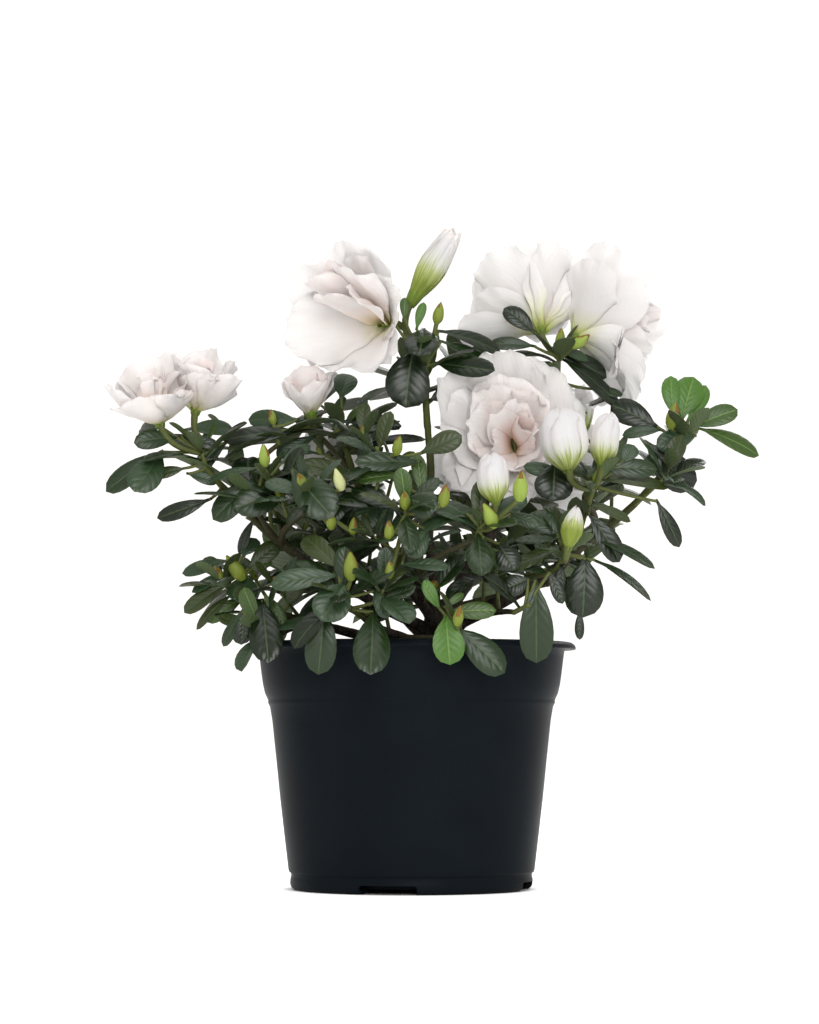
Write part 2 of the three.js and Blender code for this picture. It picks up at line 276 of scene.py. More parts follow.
# Injection-moulded polypropylene coloured with carbon black: nearly black with a blue cast, a satin skin
# with a fine moulded grain, and a faint mottle that lifts it towards grey.
pot_plastic, tree, shader = new_skin("moulded_polypropylene_blue_black")
set_sockets(shader, IOR=1.49, Specular_IOR_Level=0.03)
place = add_node(tree, "ShaderNodeTexCoord")
where = [("Vector", place.outputs["Object"])]
cloud = add_node(tree, "ShaderNodeTexNoise", where, in_Scale=45.0, in_Detail=5.0)
tint = add_node(
    tree, "ShaderNodeMix", [("Factor", cloud.outputs["Fac"])], data_type="RGBA",
    in_6=linear("#0f1418"), in_7=linear("#161c21"),
)
tree.links.new(tint.outputs[2], shader.inputs["Base Color"])
rough = add_node(tree, "ShaderNodeMapRange", [("Value", cloud.outputs["Fac"])], in_To_Min=0.3, in_To_Max=0.4)
tree.links.new(rough.outputs[0], shader.inputs["Roughness"])
grain = add_node(tree, "ShaderNodeTexNoise", where, in_Scale=1600.0, in_Detail=2.0)
relief = add_node(
    tree, "ShaderNodeBump", [("Height", grain.outputs["Fac"])], in_Strength=0.12, in_Distance=0.3 * MM,
)
tree.links.new(relief.outputs[0], shader.inputs["Normal"])
pot.data.materials.append(pot_plastic)
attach(pot, "root")
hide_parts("pot")


# ---------------------------------------------------------------- root ball and compost
# The pot is filled with a peat root ball. Its top is loose, dark, fibrous peat, gently hilled, with crumbs
# and a few white grains of perlite lying on it.
COMPOST_RINGS = 26
COMPOST_SIDES = 96
# The ball's side, as shares of its radius and height, from its foot up.
BALL_SIDE = ((0.7683, 0.0), (0.796, 0.03), (0.86, 0.4), (0.93, 0.7), (0.985, 0.93), (1.0, 1.0))
WALL_GAP_MM, TOP_GAP_MM = 0.4, 0.9
# Height, width and seed of the hills on its top.
HILLS_MM = ((1.1, 19, 3.1), (0.8, 6, 8.4), (0.5, 2.2, 5.5))
STREWN_DENSITY = 260000


def colour_stops(ramp, *stops):
    """Gives a colour ramp these stops, from low to high: a position and an sRGB hex colour each."""
    elements = ramp.color_ramp.elements
    elements[0].position = stops[0][0]
    elements[1].position = stops[-1][0]
    for position, _ in stops[1:-1]:
        elements.new(position)
    for stop, (_, colour) in zip(elements, stops):
        stop.color = linear(colour)


compost_low, compost_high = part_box("root_ball")
ball_radius = compost_high.x
ball_foot = compost_low.z
ball_top = compost_high.z
shape = bmesh.new()
rings = [ring_at(shape, 0, ball_foot, COMPOST_SIDES)]
for share, rise in BALL_SIDE:
    radius = ball_radius * share - WALL_GAP_MM * MM
    rings.append(ring_at(shape, radius, ball_foot + (ball_top - ball_foot) * rise, COMPOST_SIDES))
for step in range(COMPOST_RINGS - 1, -1, -1):
    ring = ring_at(shape, (ball_radius - TOP_GAP_MM * MM) * step / COMPOST_RINGS, ball_top, COMPOST_SIDES)
    for spot in ring:
        for high, wide, seed in HILLS_MM:
            spot.co.z += high * MM * noise.noise(Vector((spot.co.x / wide / MM, spot.co.y / wide / MM, seed)))
    rings.append(ring)
stitch(shape, rings, COMPOST_SIDES)
for face in shape.faces:
    face.smooth = True
compost_mesh = settled(shape, "peat_root_ball")
root_ball = new_object("peat_root_ball", compost_mesh)

# Sphagnum peat, damp: nearly black brown and quite matt, mottled with lighter fibres that have dried.
peat, tree, shader = new_skin("damp_sphagnum_peat")
set_sockets(shader, Roughness=0.92, Specular_IOR_Level=0.2)
place = add_node(tree, "ShaderNodeTexCoord")
where = [("Vector", place.outputs["Object"])]
fibres = add_node(tree, "ShaderNodeTexNoise", where, in_Scale=900.0, in_Detail=4.0)
tint = add_node(tree, "ShaderNodeValToRGB", [("Fac", fibres.outputs["Fac"])])
colour_stops(tint, (0.35, "#1a130e"), (0.72, "#4b3a2a"))
tree.links.new(tint.outputs[0], shader.inputs["Base Color"])
relief = add_node(
    tree, "ShaderNodeBump", [("Height", fibres.outputs["Fac"])], in_Strength=0.9, in_Distance=0.9 * MM,
)
tree.links.new(relief.outputs[0], shader.inputs["Normal"])
root_ball.data.materials.append(peat)
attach(root_ball, "root")
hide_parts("root_ball")

# Puffed white perlite, for drainage: chalky and full of small pits.
perlite, tree, shader = new_skin("expanded_perlite")
set_sockets(shader, Base_Color=linear("#d8d4c9"), Roughness=0.95)
place = add_node(tree, "ShaderNodeTexCoord")
pits = add_node(tree, "ShaderNodeTexVoronoi", [("Vector", place.outputs["Object"])], in_Scale=1500.0)
relief = add_node(
    tree, "ShaderNodeBump", [("Height", pits.outputs["Distance"])], in_Strength=0.7, in_Distance=0.4 * MM,
)
tree.links.new(relief.outputs[0], shader.inputs["Normal"])


def scattered_crumbs(name, ground, spacing, size, material, seed):
    """Geometry Nodes: lumps strewn over the level part of a ground mesh, each turned and sized at random."""
    tree = bpy.data.node_groups.new(name, "GeometryNodeTree")
    tree.interface.new_socket("Ground", in_out="INPUT", socket_type="NodeSocketGeometry")
    wanted = {"Spacing": spacing, "Crumb size": size, "Level from": ball_top - 3 * MM}
    sockets = {}
    for label in wanted:
        socket = tree.interface.new_socket(label, in_out="INPUT", socket_type="NodeSocketFloat")
        sockets[label] = socket.identifier
    tree.interface.new_socket("Crumbs", in_out="OUTPUT", socket_type="NodeSocketGeometry")
    given = add_node(tree, "NodeGroupInput").outputs
    spot = add_node(tree, "GeometryNodeInputPosition")
    height = add_node(tree, "ShaderNodeSeparateXYZ", [("Vector", spot.outputs[0])])
    level = add_node(
        tree, "FunctionNodeCompare", [("A", height.outputs["Z"]), ("B", given["Level from"])],
        operation="GREATER_THAN",
    )
    spread = add_node(
        tree, "GeometryNodeDistributePointsOnFaces",
        [("Mesh", given["Ground"]), ("Distance Min", given["Spacing"]),
         ("Selection", level.outputs["Result"])],
        distribute_method="POISSON", in_Seed=seed, in_Density_Max=STREWN_DENSITY,
    )
    lump = add_node(tree, "GeometryNodeMeshIcoSphere", [("Radius", given["Crumb size"])], in_Subdivisions=1)
    turns = add_node(
        tree, "FunctionNodeRandomValue", data_type="FLOAT_VECTOR", in_Seed=seed + 1, in_1=(6.28, 6.28, 6.28),
    )
    sizes = add_node(
        tree, "FunctionNodeRandomValue", data_type="FLOAT_VECTOR", in_Seed=seed + 2, in_0=(0.35, 0.35, 0.3),
        in_1=(1.5, 1.2, 0.9),
    )
    strewn = add_node(
        tree, "GeometryNodeInstanceOnPoints",
        [("Points", spread.outputs["Points"]), ("Instance", lump.outputs["Mesh"]),
         ("Rotation", turns.outputs["Value"]), ("Scale", sizes.outputs["Value"])],
    )
    real = add_node(tree, "GeometryNodeRealizeInstances", [("Geometry", strewn.outputs[0])])
    finish = add_node(tree, "GeometryNodeSetMaterial", [("Geometry", real.outputs[0])], in_Material=material)
    add_node(tree, "NodeGroupOutput", [("Crumbs", finish.outputs[0])])
    piece = new_object(name, ground.copy())
    strew = piece.modifiers.new("strew", "NODES")
    strew.node_group = tree
    for label, value in wanted.items():
        strew[sockets[label]] = value
    piece.data = settled_mesh(piece)
    piece.modifiers.clear()
    return piece


for name, spacing_mm, size_mm, material, seed in (
    ("peat_crumbs", 2.1, 0.95, peat, 11),
    ("perlite_grains", 9.5, 0.8, perlite, 21),
):
    crumbs = scattered_crumbs(name, compost_mesh, spacing_mm * MM, size_mm * MM, material, seed)
    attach(crumbs, "root")


# ---------------------------------------------------------------- stem and main boughs
# An old cutting grown hard: one short stem, flared where it enters the peat and leaning a little, that
# forks at once into twelve thin boughs. The bark is brown-black, ringed with old leaf scars and split into
# fine ridges.
BOUGHS = {
    "bough_crest": ("leaves_crest", 0.96),
    "bough_upper_left": ("leaves_half_open", 0.84),
    "bough_upper_right": ("leaves_upper_right", 0.9),
    "bough_back_right": ("leaves_back_right_high", 0.78),
    "bough_left": ("leaves_left_tip", 0.66),
    "bough_right": ("leaves_right_tip", 0.62),
    "bough_back": ("leaves_back", 0.6),
    "bough_front": ("leaves_front_middle", 0.64),
    "bough_left_low": ("leaves_left_low", 0.4),
    "bough_right_low": ("leaves_right_low", 0.42),
    "bough_back_left": ("leaves_back_left", 0.44),
    "bough_front_left": ("leaves_front_left", 0.36),
}
# How much of its climb a bough has made by its bend. The low one on the right arches up first.
BOUGH_CLIMB = 0.36
LOW_RIGHT_CLIMB = 0.9
BOUGH_BEND = 0.62
BOUGH_STEPS, BOUGH_SIDES = 46, 14
BOUGH_THICK_MM = 2.5
BOUGH_THIN_MM = 1.15
BOUGH_WANDER_MM = 1.1
BOUGH_RELIEF_MM = 0.22
STEM_STEPS, STEM_SIDES = 24, 40
STEM_LEAN_MM = 2
STEM_RADII_MM = (8.2, 6.6, 5.6, 5.1, 4.7, 4.6, 4.4, 3.4)
STEM_RELIEF_MM = 0.45
STEM_FLARE_MM, STEM_FLUTES, FLUTE_DEPTH = 9, 5, 0.16
NECK = 7 * MM
UP = np.array((0.0, 0.0, 1.0))
GOLDEN_TURN = math.radians(137.5)

# Which way each whorl of leaves faces: its bearing, with 0 to the right and 90 to the back, and how far it
# tips from upright.
FACES = {
    "leaves_crest": (-90, 12), "leaves_half_open": (150, 10), "leaves_upper_left": (190, 14),
    "leaves_left_tip": (195, 14), "leaves_left_shoulder": (195, 20), "leaves_left_front": (-130, 50),
    "leaves_left_low": (190, 35), "leaves_left_rim": (-150, 55), "leaves_front_left": (-113, 52),
    "leaves_front_middle": (-95, 50), "leaves_front_right": (-80, 45), "leaves_middle": (-110, 30),
    "leaves_over_rim": (-85, 50), "leaves_over_rim_right": (-55, 75), "leaves_right_low": (-35, 30),
    "leaves_right_shoulder": (-20, 18), "leaves_right_tip": (0, 25), "leaves_upper_right": (-70, 8),
    "leaves_right_back_low": (32, 45), "leaves_right_back": (40, 35), "leaves_back_right_low": (60, 45),
    "leaves_back_right_high": (50, 25), "leaves_back": (82, 45), "leaves_back_low": (100, 55),
    "leaves_back_high": (110, 20), "leaves_back_left": (119, 38), "leaves_back_left_low": (136, 45),
    "leaves_left_back": (150, 35), "leaves_left_back_high": (150, 25),
}


def centre_of(node):
    """The mean of a CAD node's corners."""
    return np.array([corner.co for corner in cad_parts[node].data.vertices]).mean(axis=0)


def unit(vector):
    return vector / np.linalg.norm(vector)


def heading(bearing_deg, tip_deg):
    """The direction towards a bearing, tipped over from straight up."""
    turn, tip = math.radians(bearing_deg), math.radians(tip_deg)
    return np.array((math.sin(tip) * math.cos(turn), math.sin(tip) * math.sin(turn), math.cos(tip)))


def square_to(axis, hint):
    """The part of hint that is square to axis, as a unit vector."""
    rest = hint - axis * np.dot(hint, axis)
    if np.linalg.norm(rest) < 1e-4:
        rest = np.cross(axis, np.array((0.31, 0.87, 0.38)))
    return unit(rest)


def around(axis, hint, turn):
    """The unit vector square to axis at this turn from hint."""
    first = square_to(axis, hint)
    return first * math.cos(turn) + np.cross(axis, first) * math.sin(turn)


def bend_through(start, knee, end, steps):
    """Points on the curve that leaves start towards knee and comes into end from it."""
    share = np.linspace(0, 1, steps)[:, None]
    return start * (1 - share) ** 2 + knee * 2 * share * (1 - share) + end * share**2


class Gathered:
    """Many small closed shapes joined into one mesh, each with its material slots, UVs and sharp edges."""

    def __init__(self):
        self.points, self.faces, self.slots, self.uvs, self.sharp, self.marks = [], [], [], [], [], []
        self.count = 0

    def add(self, points, faces, slots, uvs, sharp=(), mark=0.0):
        base = self.count
        self.points.append(points)
        self.uvs.append(uvs)
        self.faces += [[base + corner for corner in face] for face in faces]
        self.slots += slots if isinstance(slots, list) else [slots] * len(faces)
        self.sharp += [(base + a, base + b) for a, b in sharp]
        self.marks.append(np.broadcast_to(mark, len(points)))
        self.count += len(points)

    def mesh(self, name, materials):
        made = bpy.data.meshes.new(name)
        made.from_pydata(np.concatenate(self.points).tolist(), [], self.faces)
        for material in materials:
            made.materials.append(material)
        made.polygons.foreach_set("material_index", self.slots)
        made.polygons.foreach_set("use_smooth", [True] * len(self.faces))
        corner_points = np.empty(len(made.loops), dtype=np.int32)
        made.loops.foreach_get("vertex_index", corner_points)
        uv_layer = made.uv_layers.new(name="UVMap")
        uv_layer.data.foreach_set("uv", np.concatenate(self.uvs)[corner_points].astype(np.float32).ravel())
        if self.sharp:
            ends = np.empty(len(made.edges) * 2, dtype=np.int64)
            made.edges.foreach_get("vertices", ends)
            ends = np.sort(ends.reshape(-1, 2), axis=1)
            wanted = np.sort(np.array(self.sharp, dtype=np.int64), axis=1)
            code = np.array((self.count, 1))
            found = np.isin(ends @ code, wanted @ code)
            made.attributes.new("sharp_edge", "BOOLEAN", "EDGE").data.foreach_set("value", found)
        blush = made.attributes.new("blush", "FLOAT", "POINT")
        blush.data.foreach_set("value", np.concatenate(self.marks).astype(np.float32))
        made.validate()
        return made


def tube(path, radii, sides, relief=0.0, seed=0.0):
    """A closed tube along a path: its points, faces and UVs. relief is the height of the bark's ridges."""
    along = np.gradient(path, axis=0)
    side = square_to(unit(along[0]), np.array((0.2, 0.9, 0.1)))
    points, uvs, faces = [], [], []
    travelled = np.concatenate([[0], np.cumsum(np.linalg.norm(np.diff(path, axis=0), axis=1))])
    for step, (spot, tangent, radius) in enumerate(zip(path, along, radii)):
        tangent = unit(tangent)
        side = square_to(tangent, side)
        other = np.cross(tangent, side)
        for i in range(sides):
            turn = 2 * math.pi * i / sides
            skin = radius
            if relief:
                spot_on_bark = (math.cos(turn) * 3.2 + seed, math.sin(turn) * 3.2, travelled[step] * 160)
                scar = max(0.0, math.sin(travelled[step] * 1150 + 2.2 * math.sin(turn + seed))) ** 6
                skin += relief * (noise.noise(Vector(spot_on_bark)) + 0.5 * scar)
            points.append(spot + skin * (side * math.cos(turn) + other * math.sin(turn)))
            uvs.append((i / sides, travelled[step] * 50))
        if step:
            low, high = (step - 1) * sides, step * sides
            for i in range(sides):
                j = (i + 1) % sides
                faces.append([low + i, low + j, high + j, high + i])
    faces.append(list(range(sides))[::-1])
    last = (len(path) - 1) * sides
    faces.append([last + i for i in range(sides)])
    return np.array(points), faces, np.array(uvs)


facing = {name: heading(*FACES[name]) for name in FACES}
whorl_at = {name: centre_of(name) + facing[name] * 4 * MM for name in FACES}

trunk_low, trunk_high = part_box("trunk")
trunk_middle = (trunk_low + trunk_high) / 2
stem_foot = np.array((trunk_middle.x, trunk_middle.y, trunk_low.z - 1.5 * MM))
stem_top = np.array((stem_foot[0] - STEM_LEAN_MM * MM, stem_foot[1], trunk_high.z))
wood = Gathered()
share = np.linspace(0, 1, STEM_STEPS)
stem_path = stem_foot + share[:, None] * (stem_top - stem_foot)
stem_radii = np.interp(share * (len(STEM_RADII_MM) - 1), range(len(STEM_RADII_MM)), STEM_RADII_MM) * MM
points, faces, uvs = tube(stem_path, stem_radii, STEM_SIDES, STEM_RELIEF_MM * MM)
from_axis = points[:, :2] - stem_foot[:2]
turns = np.arctan2(from_axis[:, 1], from_axis[:, 0])
low_down = np.clip(1 - (points[:, 2] - stem_foot[2]) / (STEM_FLARE_MM * MM), 0, 1) ** 2
points[:, :2] += from_axis * (FLUTE_DEPTH * low_down * np.cos(STEM_FLUTES * turns + 0.7))[:, None]
wood.add(points, faces, 0, uvs)

limbs = {}
share = np.linspace(0, 1, BOUGH_STEPS)
for number, (bough, (whorl_name, level)) in enumerate(BOUGHS.items()):
    start = stem_foot + (stem_top - stem_foot) * level
    end = whorl_at[whorl_name] - facing[whorl_name] * NECK
    knee = start + (end - start) * BOUGH_BEND
    climb = LOW_RIGHT_CLIMB if bough == "bough_right_low" else BOUGH_CLIMB
    knee[2] = start[2] + (end[2] - start[2]) * climb
    path = bend_through(start, knee, end, BOUGH_STEPS)
    wander = np.sin(share * math.pi) * BOUGH_WANDER_MM * MM
    path[:, 0] += wander * np.sin(share * 11 + number)
    path[:, 1] += wander * np.cos(share * 9 + 2.3 * number)
    radii = (BOUGH_THICK_MM + (BOUGH_THIN_MM - BOUGH_THICK_MM) * share**0.8) * MM
    points, faces, uvs = tube(path, radii, BOUGH_SIDES, BOUGH_RELIEF_MM * MM, number * 1.7)
    green = np.clip(share * 2.2 - 1, 0, 0.9)
    wood.add(points, faces, 0, uvs, mark=np.repeat(green, BOUGH_SIDES))
    limbs[bough] = path

# Azalea bark: thin, dry and finely split, brown-black with grey where the outer skin has lifted, and still
# green on the outer half of each bough.
bark, tree, shader = new_skin("azalea_bark")
set_sockets(shader, Roughness=0.85, Specular_IOR_Level=0.25)
place = add_node(tree, "ShaderNodeTexCoord")
where = [("Vector", place.outputs["Object"])]
stretch = add_node(tree, "ShaderNodeMapping", where, in_Scale=(1.0, 1.0, 0.35))
flakes = add_node(tree, "ShaderNodeTexNoise", [("Vector", stretch.outputs[0])], in_Scale=700.0, in_Detail=5.0)
tint = add_node(tree, "ShaderNodeValToRGB", [("Fac", flakes.outputs["Fac"])])
colour_stops(tint, (0.34, "#1d1815"), (0.7, "#4a423a"))
youth = add_node(tree, "ShaderNodeAttribute", attribute_name="blush")
green_end = add_node(
    tree, "ShaderNodeMix", [("Factor", youth.outputs["Fac"]), (6, tint.outputs[0])], data_type="RGBA",
    in_7=linear("#4c5428"),
)
tree.links.new(green_end.outputs[2], shader.inputs["Base Color"])
relief = add_node(
    tree, "ShaderNodeBump", [("Height", flakes.outputs["Fac"])], in_Strength=0.8, in_Distance=0.5 * MM,
)
tree.links.new(relief.outputs[0], shader.inputs["Normal"])

wood_piece = new_object("stem_and_boughs", wood.mesh("stem_and_boughs", [bark]))
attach(wood_piece, "root")
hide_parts("trunk", *BOUGHS)


# ---------------------------------------------------------------- twigs
# Last year's wood, thinner and olive brown, that carries the whorls the boughs don't reach. Along the outer
# half of every limb stand short side shoots of this year's growth, each ending in a small whorl of its own.
TWIG_STEPS, TWIG_SIDES = 22, 9
TWIG_THICK_MM = 1.5
TWIG_THIN_MM = 0.95
TWIG_RELIEF_MM = 0.1
SHOOT_STEPS, SHOOT_SIDES = 9, 7
SHOOT_THICK_MM = 0.85
SHOOT_THIN_MM = 0.65
SHOOT_REACH_MM, SHOOT_REACH_VARIES_MM = 9, 13
SHOOT_SPACING_MM = 11
SHOOT_CLEAR_MM = 12.5
SHOOT_LIFT_MM = 20
FIRST_SHOOT_AT = 0.34
TIP_STEPS = 8
OLD_WOOD, NEW_WOOD = 0, 1
POT_WALL_REACH = 55 * MM
POT_RIM_REACH = 67.5 * MM
POT_RIM_TOP = 99 * MM

# Places that the leaves leave clear, as they look from the front: across, height and radius.
OPENINGS_MM = (
    (62, 103, 11), (48, 106, 9), (34, 104, 7), (26, 106, 7), (80, 104, 12), (-66, 196, 11), (-50, 196, 6),
    (4, 104, 5), (-26, 101, 5), (62, 160, 4), (-4, 178, 6), (8, 188, 6), (-86, 138, 8), (-74, 140, 8),
    (-64, 137, 5), (98, 145, 8), (101, 126, 9), (112, 120, 10), (90, 114, 8), (-100, 118, 6), (119, 175, 6),
    (124, 168, 7), (87, 149, 6), (77, 128, 5), (68, 121, 4), (9, 86, 5), (-100, 178, 5), (6, 206, 3),
)


def in_an_opening(spot, margin=0.0):
    """Whether a point stands in one of the openings when the plant is seen from the camera."""
    nearer = CAMERA_AT[1] / (CAMERA_AT[1] - spot[1])
    across = (CAMERA_AT[0] + (spot[0] - CAMERA_AT[0]) * nearer) / MM
    height = (CAMERA_AT[2] + (spot[2] - CAMERA_AT[2]) * nearer) / MM
    return any(math.hypot(across - x, height - z) < radius + margin for x, z, radius in OPENINGS_MM)


def clear_of_pot(points):
    """Whether every point misses the pot's wall and rim and the peat inside it."""
    reach = np.hypot(points[:, 0], points[:, 1])
    in_wall = (reach < POT_RIM_REACH) & (points[:, 2] < POT_RIM_TOP) & (reach > POT_WALL_REACH)
    buried = (reach <= POT_WALL_REACH) & (points[:, 2] < ball_top + 4 * MM)
    return not (in_wall | buried).any()


def fork_for(goal, choices):
    """The place on these limbs from which a twig reaches the goal best: near it, and lower down."""
    best = None
    for path in choices:
        for step in range(len(path) // 5, len(path) * 6 // 7):
            climb = goal[2] - path[step][2]
            cost = np.linalg.norm(goal - path[step]) + 1.5 * max(0.0, 12 * MM - climb)
            if best is None or cost < best[0]:
                best = (cost, path, step)
    return best[1], best[2]


grow = random.Random(41)
twigs = Gathered()
for name in FACES:
    if name in [whorl for whorl, level in BOUGHS.values()]:
        continue
    end = whorl_at[name] - facing[name] * NECK
    choices = [limbs["bough_right_low"]] if name == "leaves_over_rim_right" else limbs.values()
    path, step = fork_for(end, choices)
    start = path[step]
    gap = np.linalg.norm(end - start)
    onward = unit(path[step + 2] - path[step])
    knee = start + (onward * 0.45 + unit(end - start) * 0.55) * gap * 0.5
    knee[2] -= 0.06 * gap
    knee[2] = max(knee[2], ball_top + 8 * MM)
    twig = bend_through(start, knee, end, TWIG_STEPS)
    radii = np.linspace(TWIG_THICK_MM, TWIG_THIN_MM, TWIG_STEPS) * MM
    points, faces, uvs = tube(twig, radii, TWIG_SIDES, TWIG_RELIEF_MM * MM, grow.random() * 9)
    twigs.add(points, faces, OLD_WOOD, uvs)
    limbs["twig_to_" + name] = twig

# Side shoots: every few millimetres along the limb, turned on by the golden angle, leaning out and then up.
side_shoots = []
for path in list(limbs.values()):
    length = np.linalg.norm(np.diff(path, axis=0), axis=1).sum()
    travelled = length * FIRST_SHOOT_AT
    turn = grow.random() * 6.28
    while travelled < length - 9 * MM:
        step = min(int(travelled / length * (len(path) - 1)), len(path) - 2)
        base = path[step]
        onward = unit(path[step + 1] - path[step])
        away = around(onward, UP, turn)
        aim = unit(onward * 0.75 + away * 0.85 + UP * 0.35)
        reach = (SHOOT_REACH_MM + SHOOT_REACH_VARIES_MM * grow.random()) * MM
        tip = base + aim * reach + UP * 2 * MM
        taken = list(whorl_at.values()) + [shoot["tip"] for shoot in side_shoots]
        near = min(np.linalg.norm(tip - spot) for spot in taken)
        turn += GOLDEN_TURN
        travelled += SHOOT_SPACING_MM * MM * (0.7 + 0.6 * grow.random())
        too_low = tip[2] < ball_top + SHOOT_LIFT_MM * MM
        if near < SHOOT_CLEAR_MM * MM or too_low or in_an_opening(tip, 7):
            continue
        side_shoots.append({"base": base, "tip": tip, "aim": unit(aim + UP * 0.5)})
for shoot in side_shoots:
    knee = shoot["base"] + (shoot["tip"] - shoot["base"]) * 0.55 - UP * 1.2 * MM
    path = bend_through(shoot["base"], knee, shoot["tip"], SHOOT_STEPS)
    radii = np.linspace(SHOOT_THICK_MM, SHOOT_THIN_MM, SHOOT_STEPS) * MM
    points, faces, uvs = tube(path, radii, SHOOT_SIDES)
    twigs.add(points, faces, NEW_WOOD, uvs)
for name, at in whorl_at.items():
    path = np.linspace(at - facing[name] * (NECK + 0.5 * MM), at + facing[name] * 3 * MM, TIP_STEPS)
    radii = np.linspace(TWIG_THIN_MM + 0.1, SHOOT_THICK_MM, TIP_STEPS) * MM
    points, faces, uvs = tube(path, radii, TWIG_SIDES)
    twigs.add(points, faces, NEW_WOOD, uvs)


def young_wood(name, dark, light, roughness):
    """Young wood with fine lengthwise streaks between two colours."""
    made, tree, shader = new_skin(name)
    set_sockets(shader, Roughness=roughness, Specular_IOR_Level=0.3)
    place = add_node(tree, "ShaderNodeTexCoord")
    streaks = add_node(tree, "ShaderNodeTexNoise", [("Vector", place.outputs["Object"])], in_Scale=420.0)
    tint = add_node(
        tree, "ShaderNodeMix", [("Factor", streaks.outputs["Fac"])], data_type="RGBA",
        in_6=linear(dark), in_7=linear(light),
    )
    tree.links.new(tint.outputs[2], shader.inputs["Base Color"])
    relief = add_node(
        tree, "ShaderNodeBump", [("Height", streaks.outputs["Fac"])], in_Strength=0.4, in_Distance=0.3 * MM,
    )
    tree.links.new(relief.outputs[0], shader.inputs["Normal"])
    return made


# Second-year azalea wood, its green skin turning brown, and soft green shoots covered in flat hairs.
twig_skin = young_wood("second_year_azalea_wood", "#2b2a1c", "#4d4a2e", 0.75)
shoot_skin = young_wood("hairy_green_shoot", "#454c26", "#67713a", 0.6)
twig_piece = new_object("twigs", twigs.mesh("twigs", [twig_skin, shoot_skin]))
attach(twig_piece, "root")


# ---------------------------------------------------------------- leaves
# Evergreen azalea leaves, leathery and elliptic, broadest past the middle, with a sunk midrib and rolled
# edges. They crowd in whorls at the tips: long dark ones outside and below, short bright ones round the
# shoot's end.
LEAF_ROWS = 9
LEAF_ACROSS = (-1, -0.52, -0.05, 0.05, 0.52, 1)
BLADE, MIDRIB, UNDERSIDE = "blade", "midrib", "underside"
TONES = ("deep", "mid", "grey", "olive", "young", "bright")
SIDE_VEINS = 7.0
YOUNG_FROM = TONES.index("young")
LEAF_SLOPE_STEPS = 60
# The blade starts past its foot, narrows there to the stalk, and is scaled by its outline's widest value.
LEAF_FOOT = 0.07
LEAF_STALK = 0.55 * MM
LEAF_WIDEST = 0.379
TRIES_TO_CLEAR = 6


def leaf_faces():
    """One leaf's faces, the part of the leaf that each belongs to, and the edges along its margin."""
    wide = len(LEAF_ACROSS) + 1
    tip = LEAF_ROWS * wide
    faces, parts, margin = [], [], []
    for row in range(LEAF_ROWS):
        here = row * wide
        last = row == LEAF_ROWS - 1
        for j in range(wide - 2):
            low = [here + j, here + j + 1]
            faces.append(low + ([tip] if last else [here + wide + j + 1, here + wide + j]))
            parts.append(MIDRIB if j == 2 else BLADE)
        for a, b in ((wide - 2, wide - 1), (wide - 1, 0)):
            faces.append([here + a, here + b] + ([tip] if last else [here + wide + b, here + wide + a]))
            parts.append(UNDERSIDE)
        for j in (0, wide - 2):
            margin.append((here + j, tip if last else here + wide + j))
    faces.append(list(range(wide))[::-1])
    parts.append(UNDERSIDE)
    return faces, parts, margin


def leaf_points(at, aim, face, length, width, droop, fold, twist, sway, roll):
    """One leaf: its points and UVs. It leaves `at` along `aim` with its upper side towards `face`."""
    along = 1 - (1 - np.linspace(0, 1, LEAF_ROWS + 1)) ** 1.2
    fine = np.linspace(0, 1, LEAF_SLOPE_STEPS + 1)
    slope = droop * fine**1.3
    ahead = np.concatenate([[0], np.cumsum(np.cos(slope[1:]) / LEAF_SLOPE_STEPS)]) * length
    fall = np.concatenate([[0], np.cumsum(np.sin(slope[1:]) / LEAF_SLOPE_STEPS)]) * length
    blade = np.clip((along - LEAF_FOOT) / (1 - LEAF_FOOT), 0, 1)
    half = np.maximum(width / 2 * blade**0.9 * (1 - blade) ** 0.55 / LEAF_WIDEST, LEAF_STALK)
    normal = square_to(aim, face)
    side = np.cross(aim, normal)
    points, uvs = [], []
    for row in range(LEAF_ROWS):
        v = along[row]
        angle = float(np.interp(v, fine, slope))
        spot = at + aim * np.interp(v, fine, ahead) - normal * np.interp(v, fine, fall)
        spot = spot + side * sway * length * v * v
        up = normal * math.cos(angle) + aim * math.sin(angle)
        turn = twist * v
        across = side * math.cos(turn) + up * math.sin(turn)
        up = up * math.cos(turn) - side * math.sin(turn)
        for u in LEAF_ACROSS:
            high = half[row] * (fold * abs(u) + 0.34 * (abs(u) - u * u) - roll * u**4)
            if abs(u) < 0.1:
                high = -0.22 * MM * (1 - v)
            points.append(spot + across * u * half[row] + up * high)
            uvs.append((0.5 + 0.5 * u, v))
        points.append(spot - up * (0.3 + 0.6 * (1 - v)) * MM)
        uvs.append((0.5, v))
    end = at + aim * ahead[-1] - normal * fall[-1] + side * sway * length
    points.append(end)
    uvs.append((0.5, 1.0))
    return np.array(points), np.array(uvs)


LEAF_FACES, LEAF_PARTS, LEAF_MARGIN = leaf_faces()
grow = random.Random(77)
leaf_heaps = {name: Gathered() for name in FACES}
flower_hearts = []
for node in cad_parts:
    if node.startswith(("bloom_", "bud_")):
        low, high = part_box(node)
        flower_hearts.append((np.array((low + high) / 2), np.array((high - low) / 2) * 0.8))


def touches_a_flower(points):
    return any((np.linalg.norm((points - at) / half, axis=1) < 1).any() for at, half in flower_hearts)


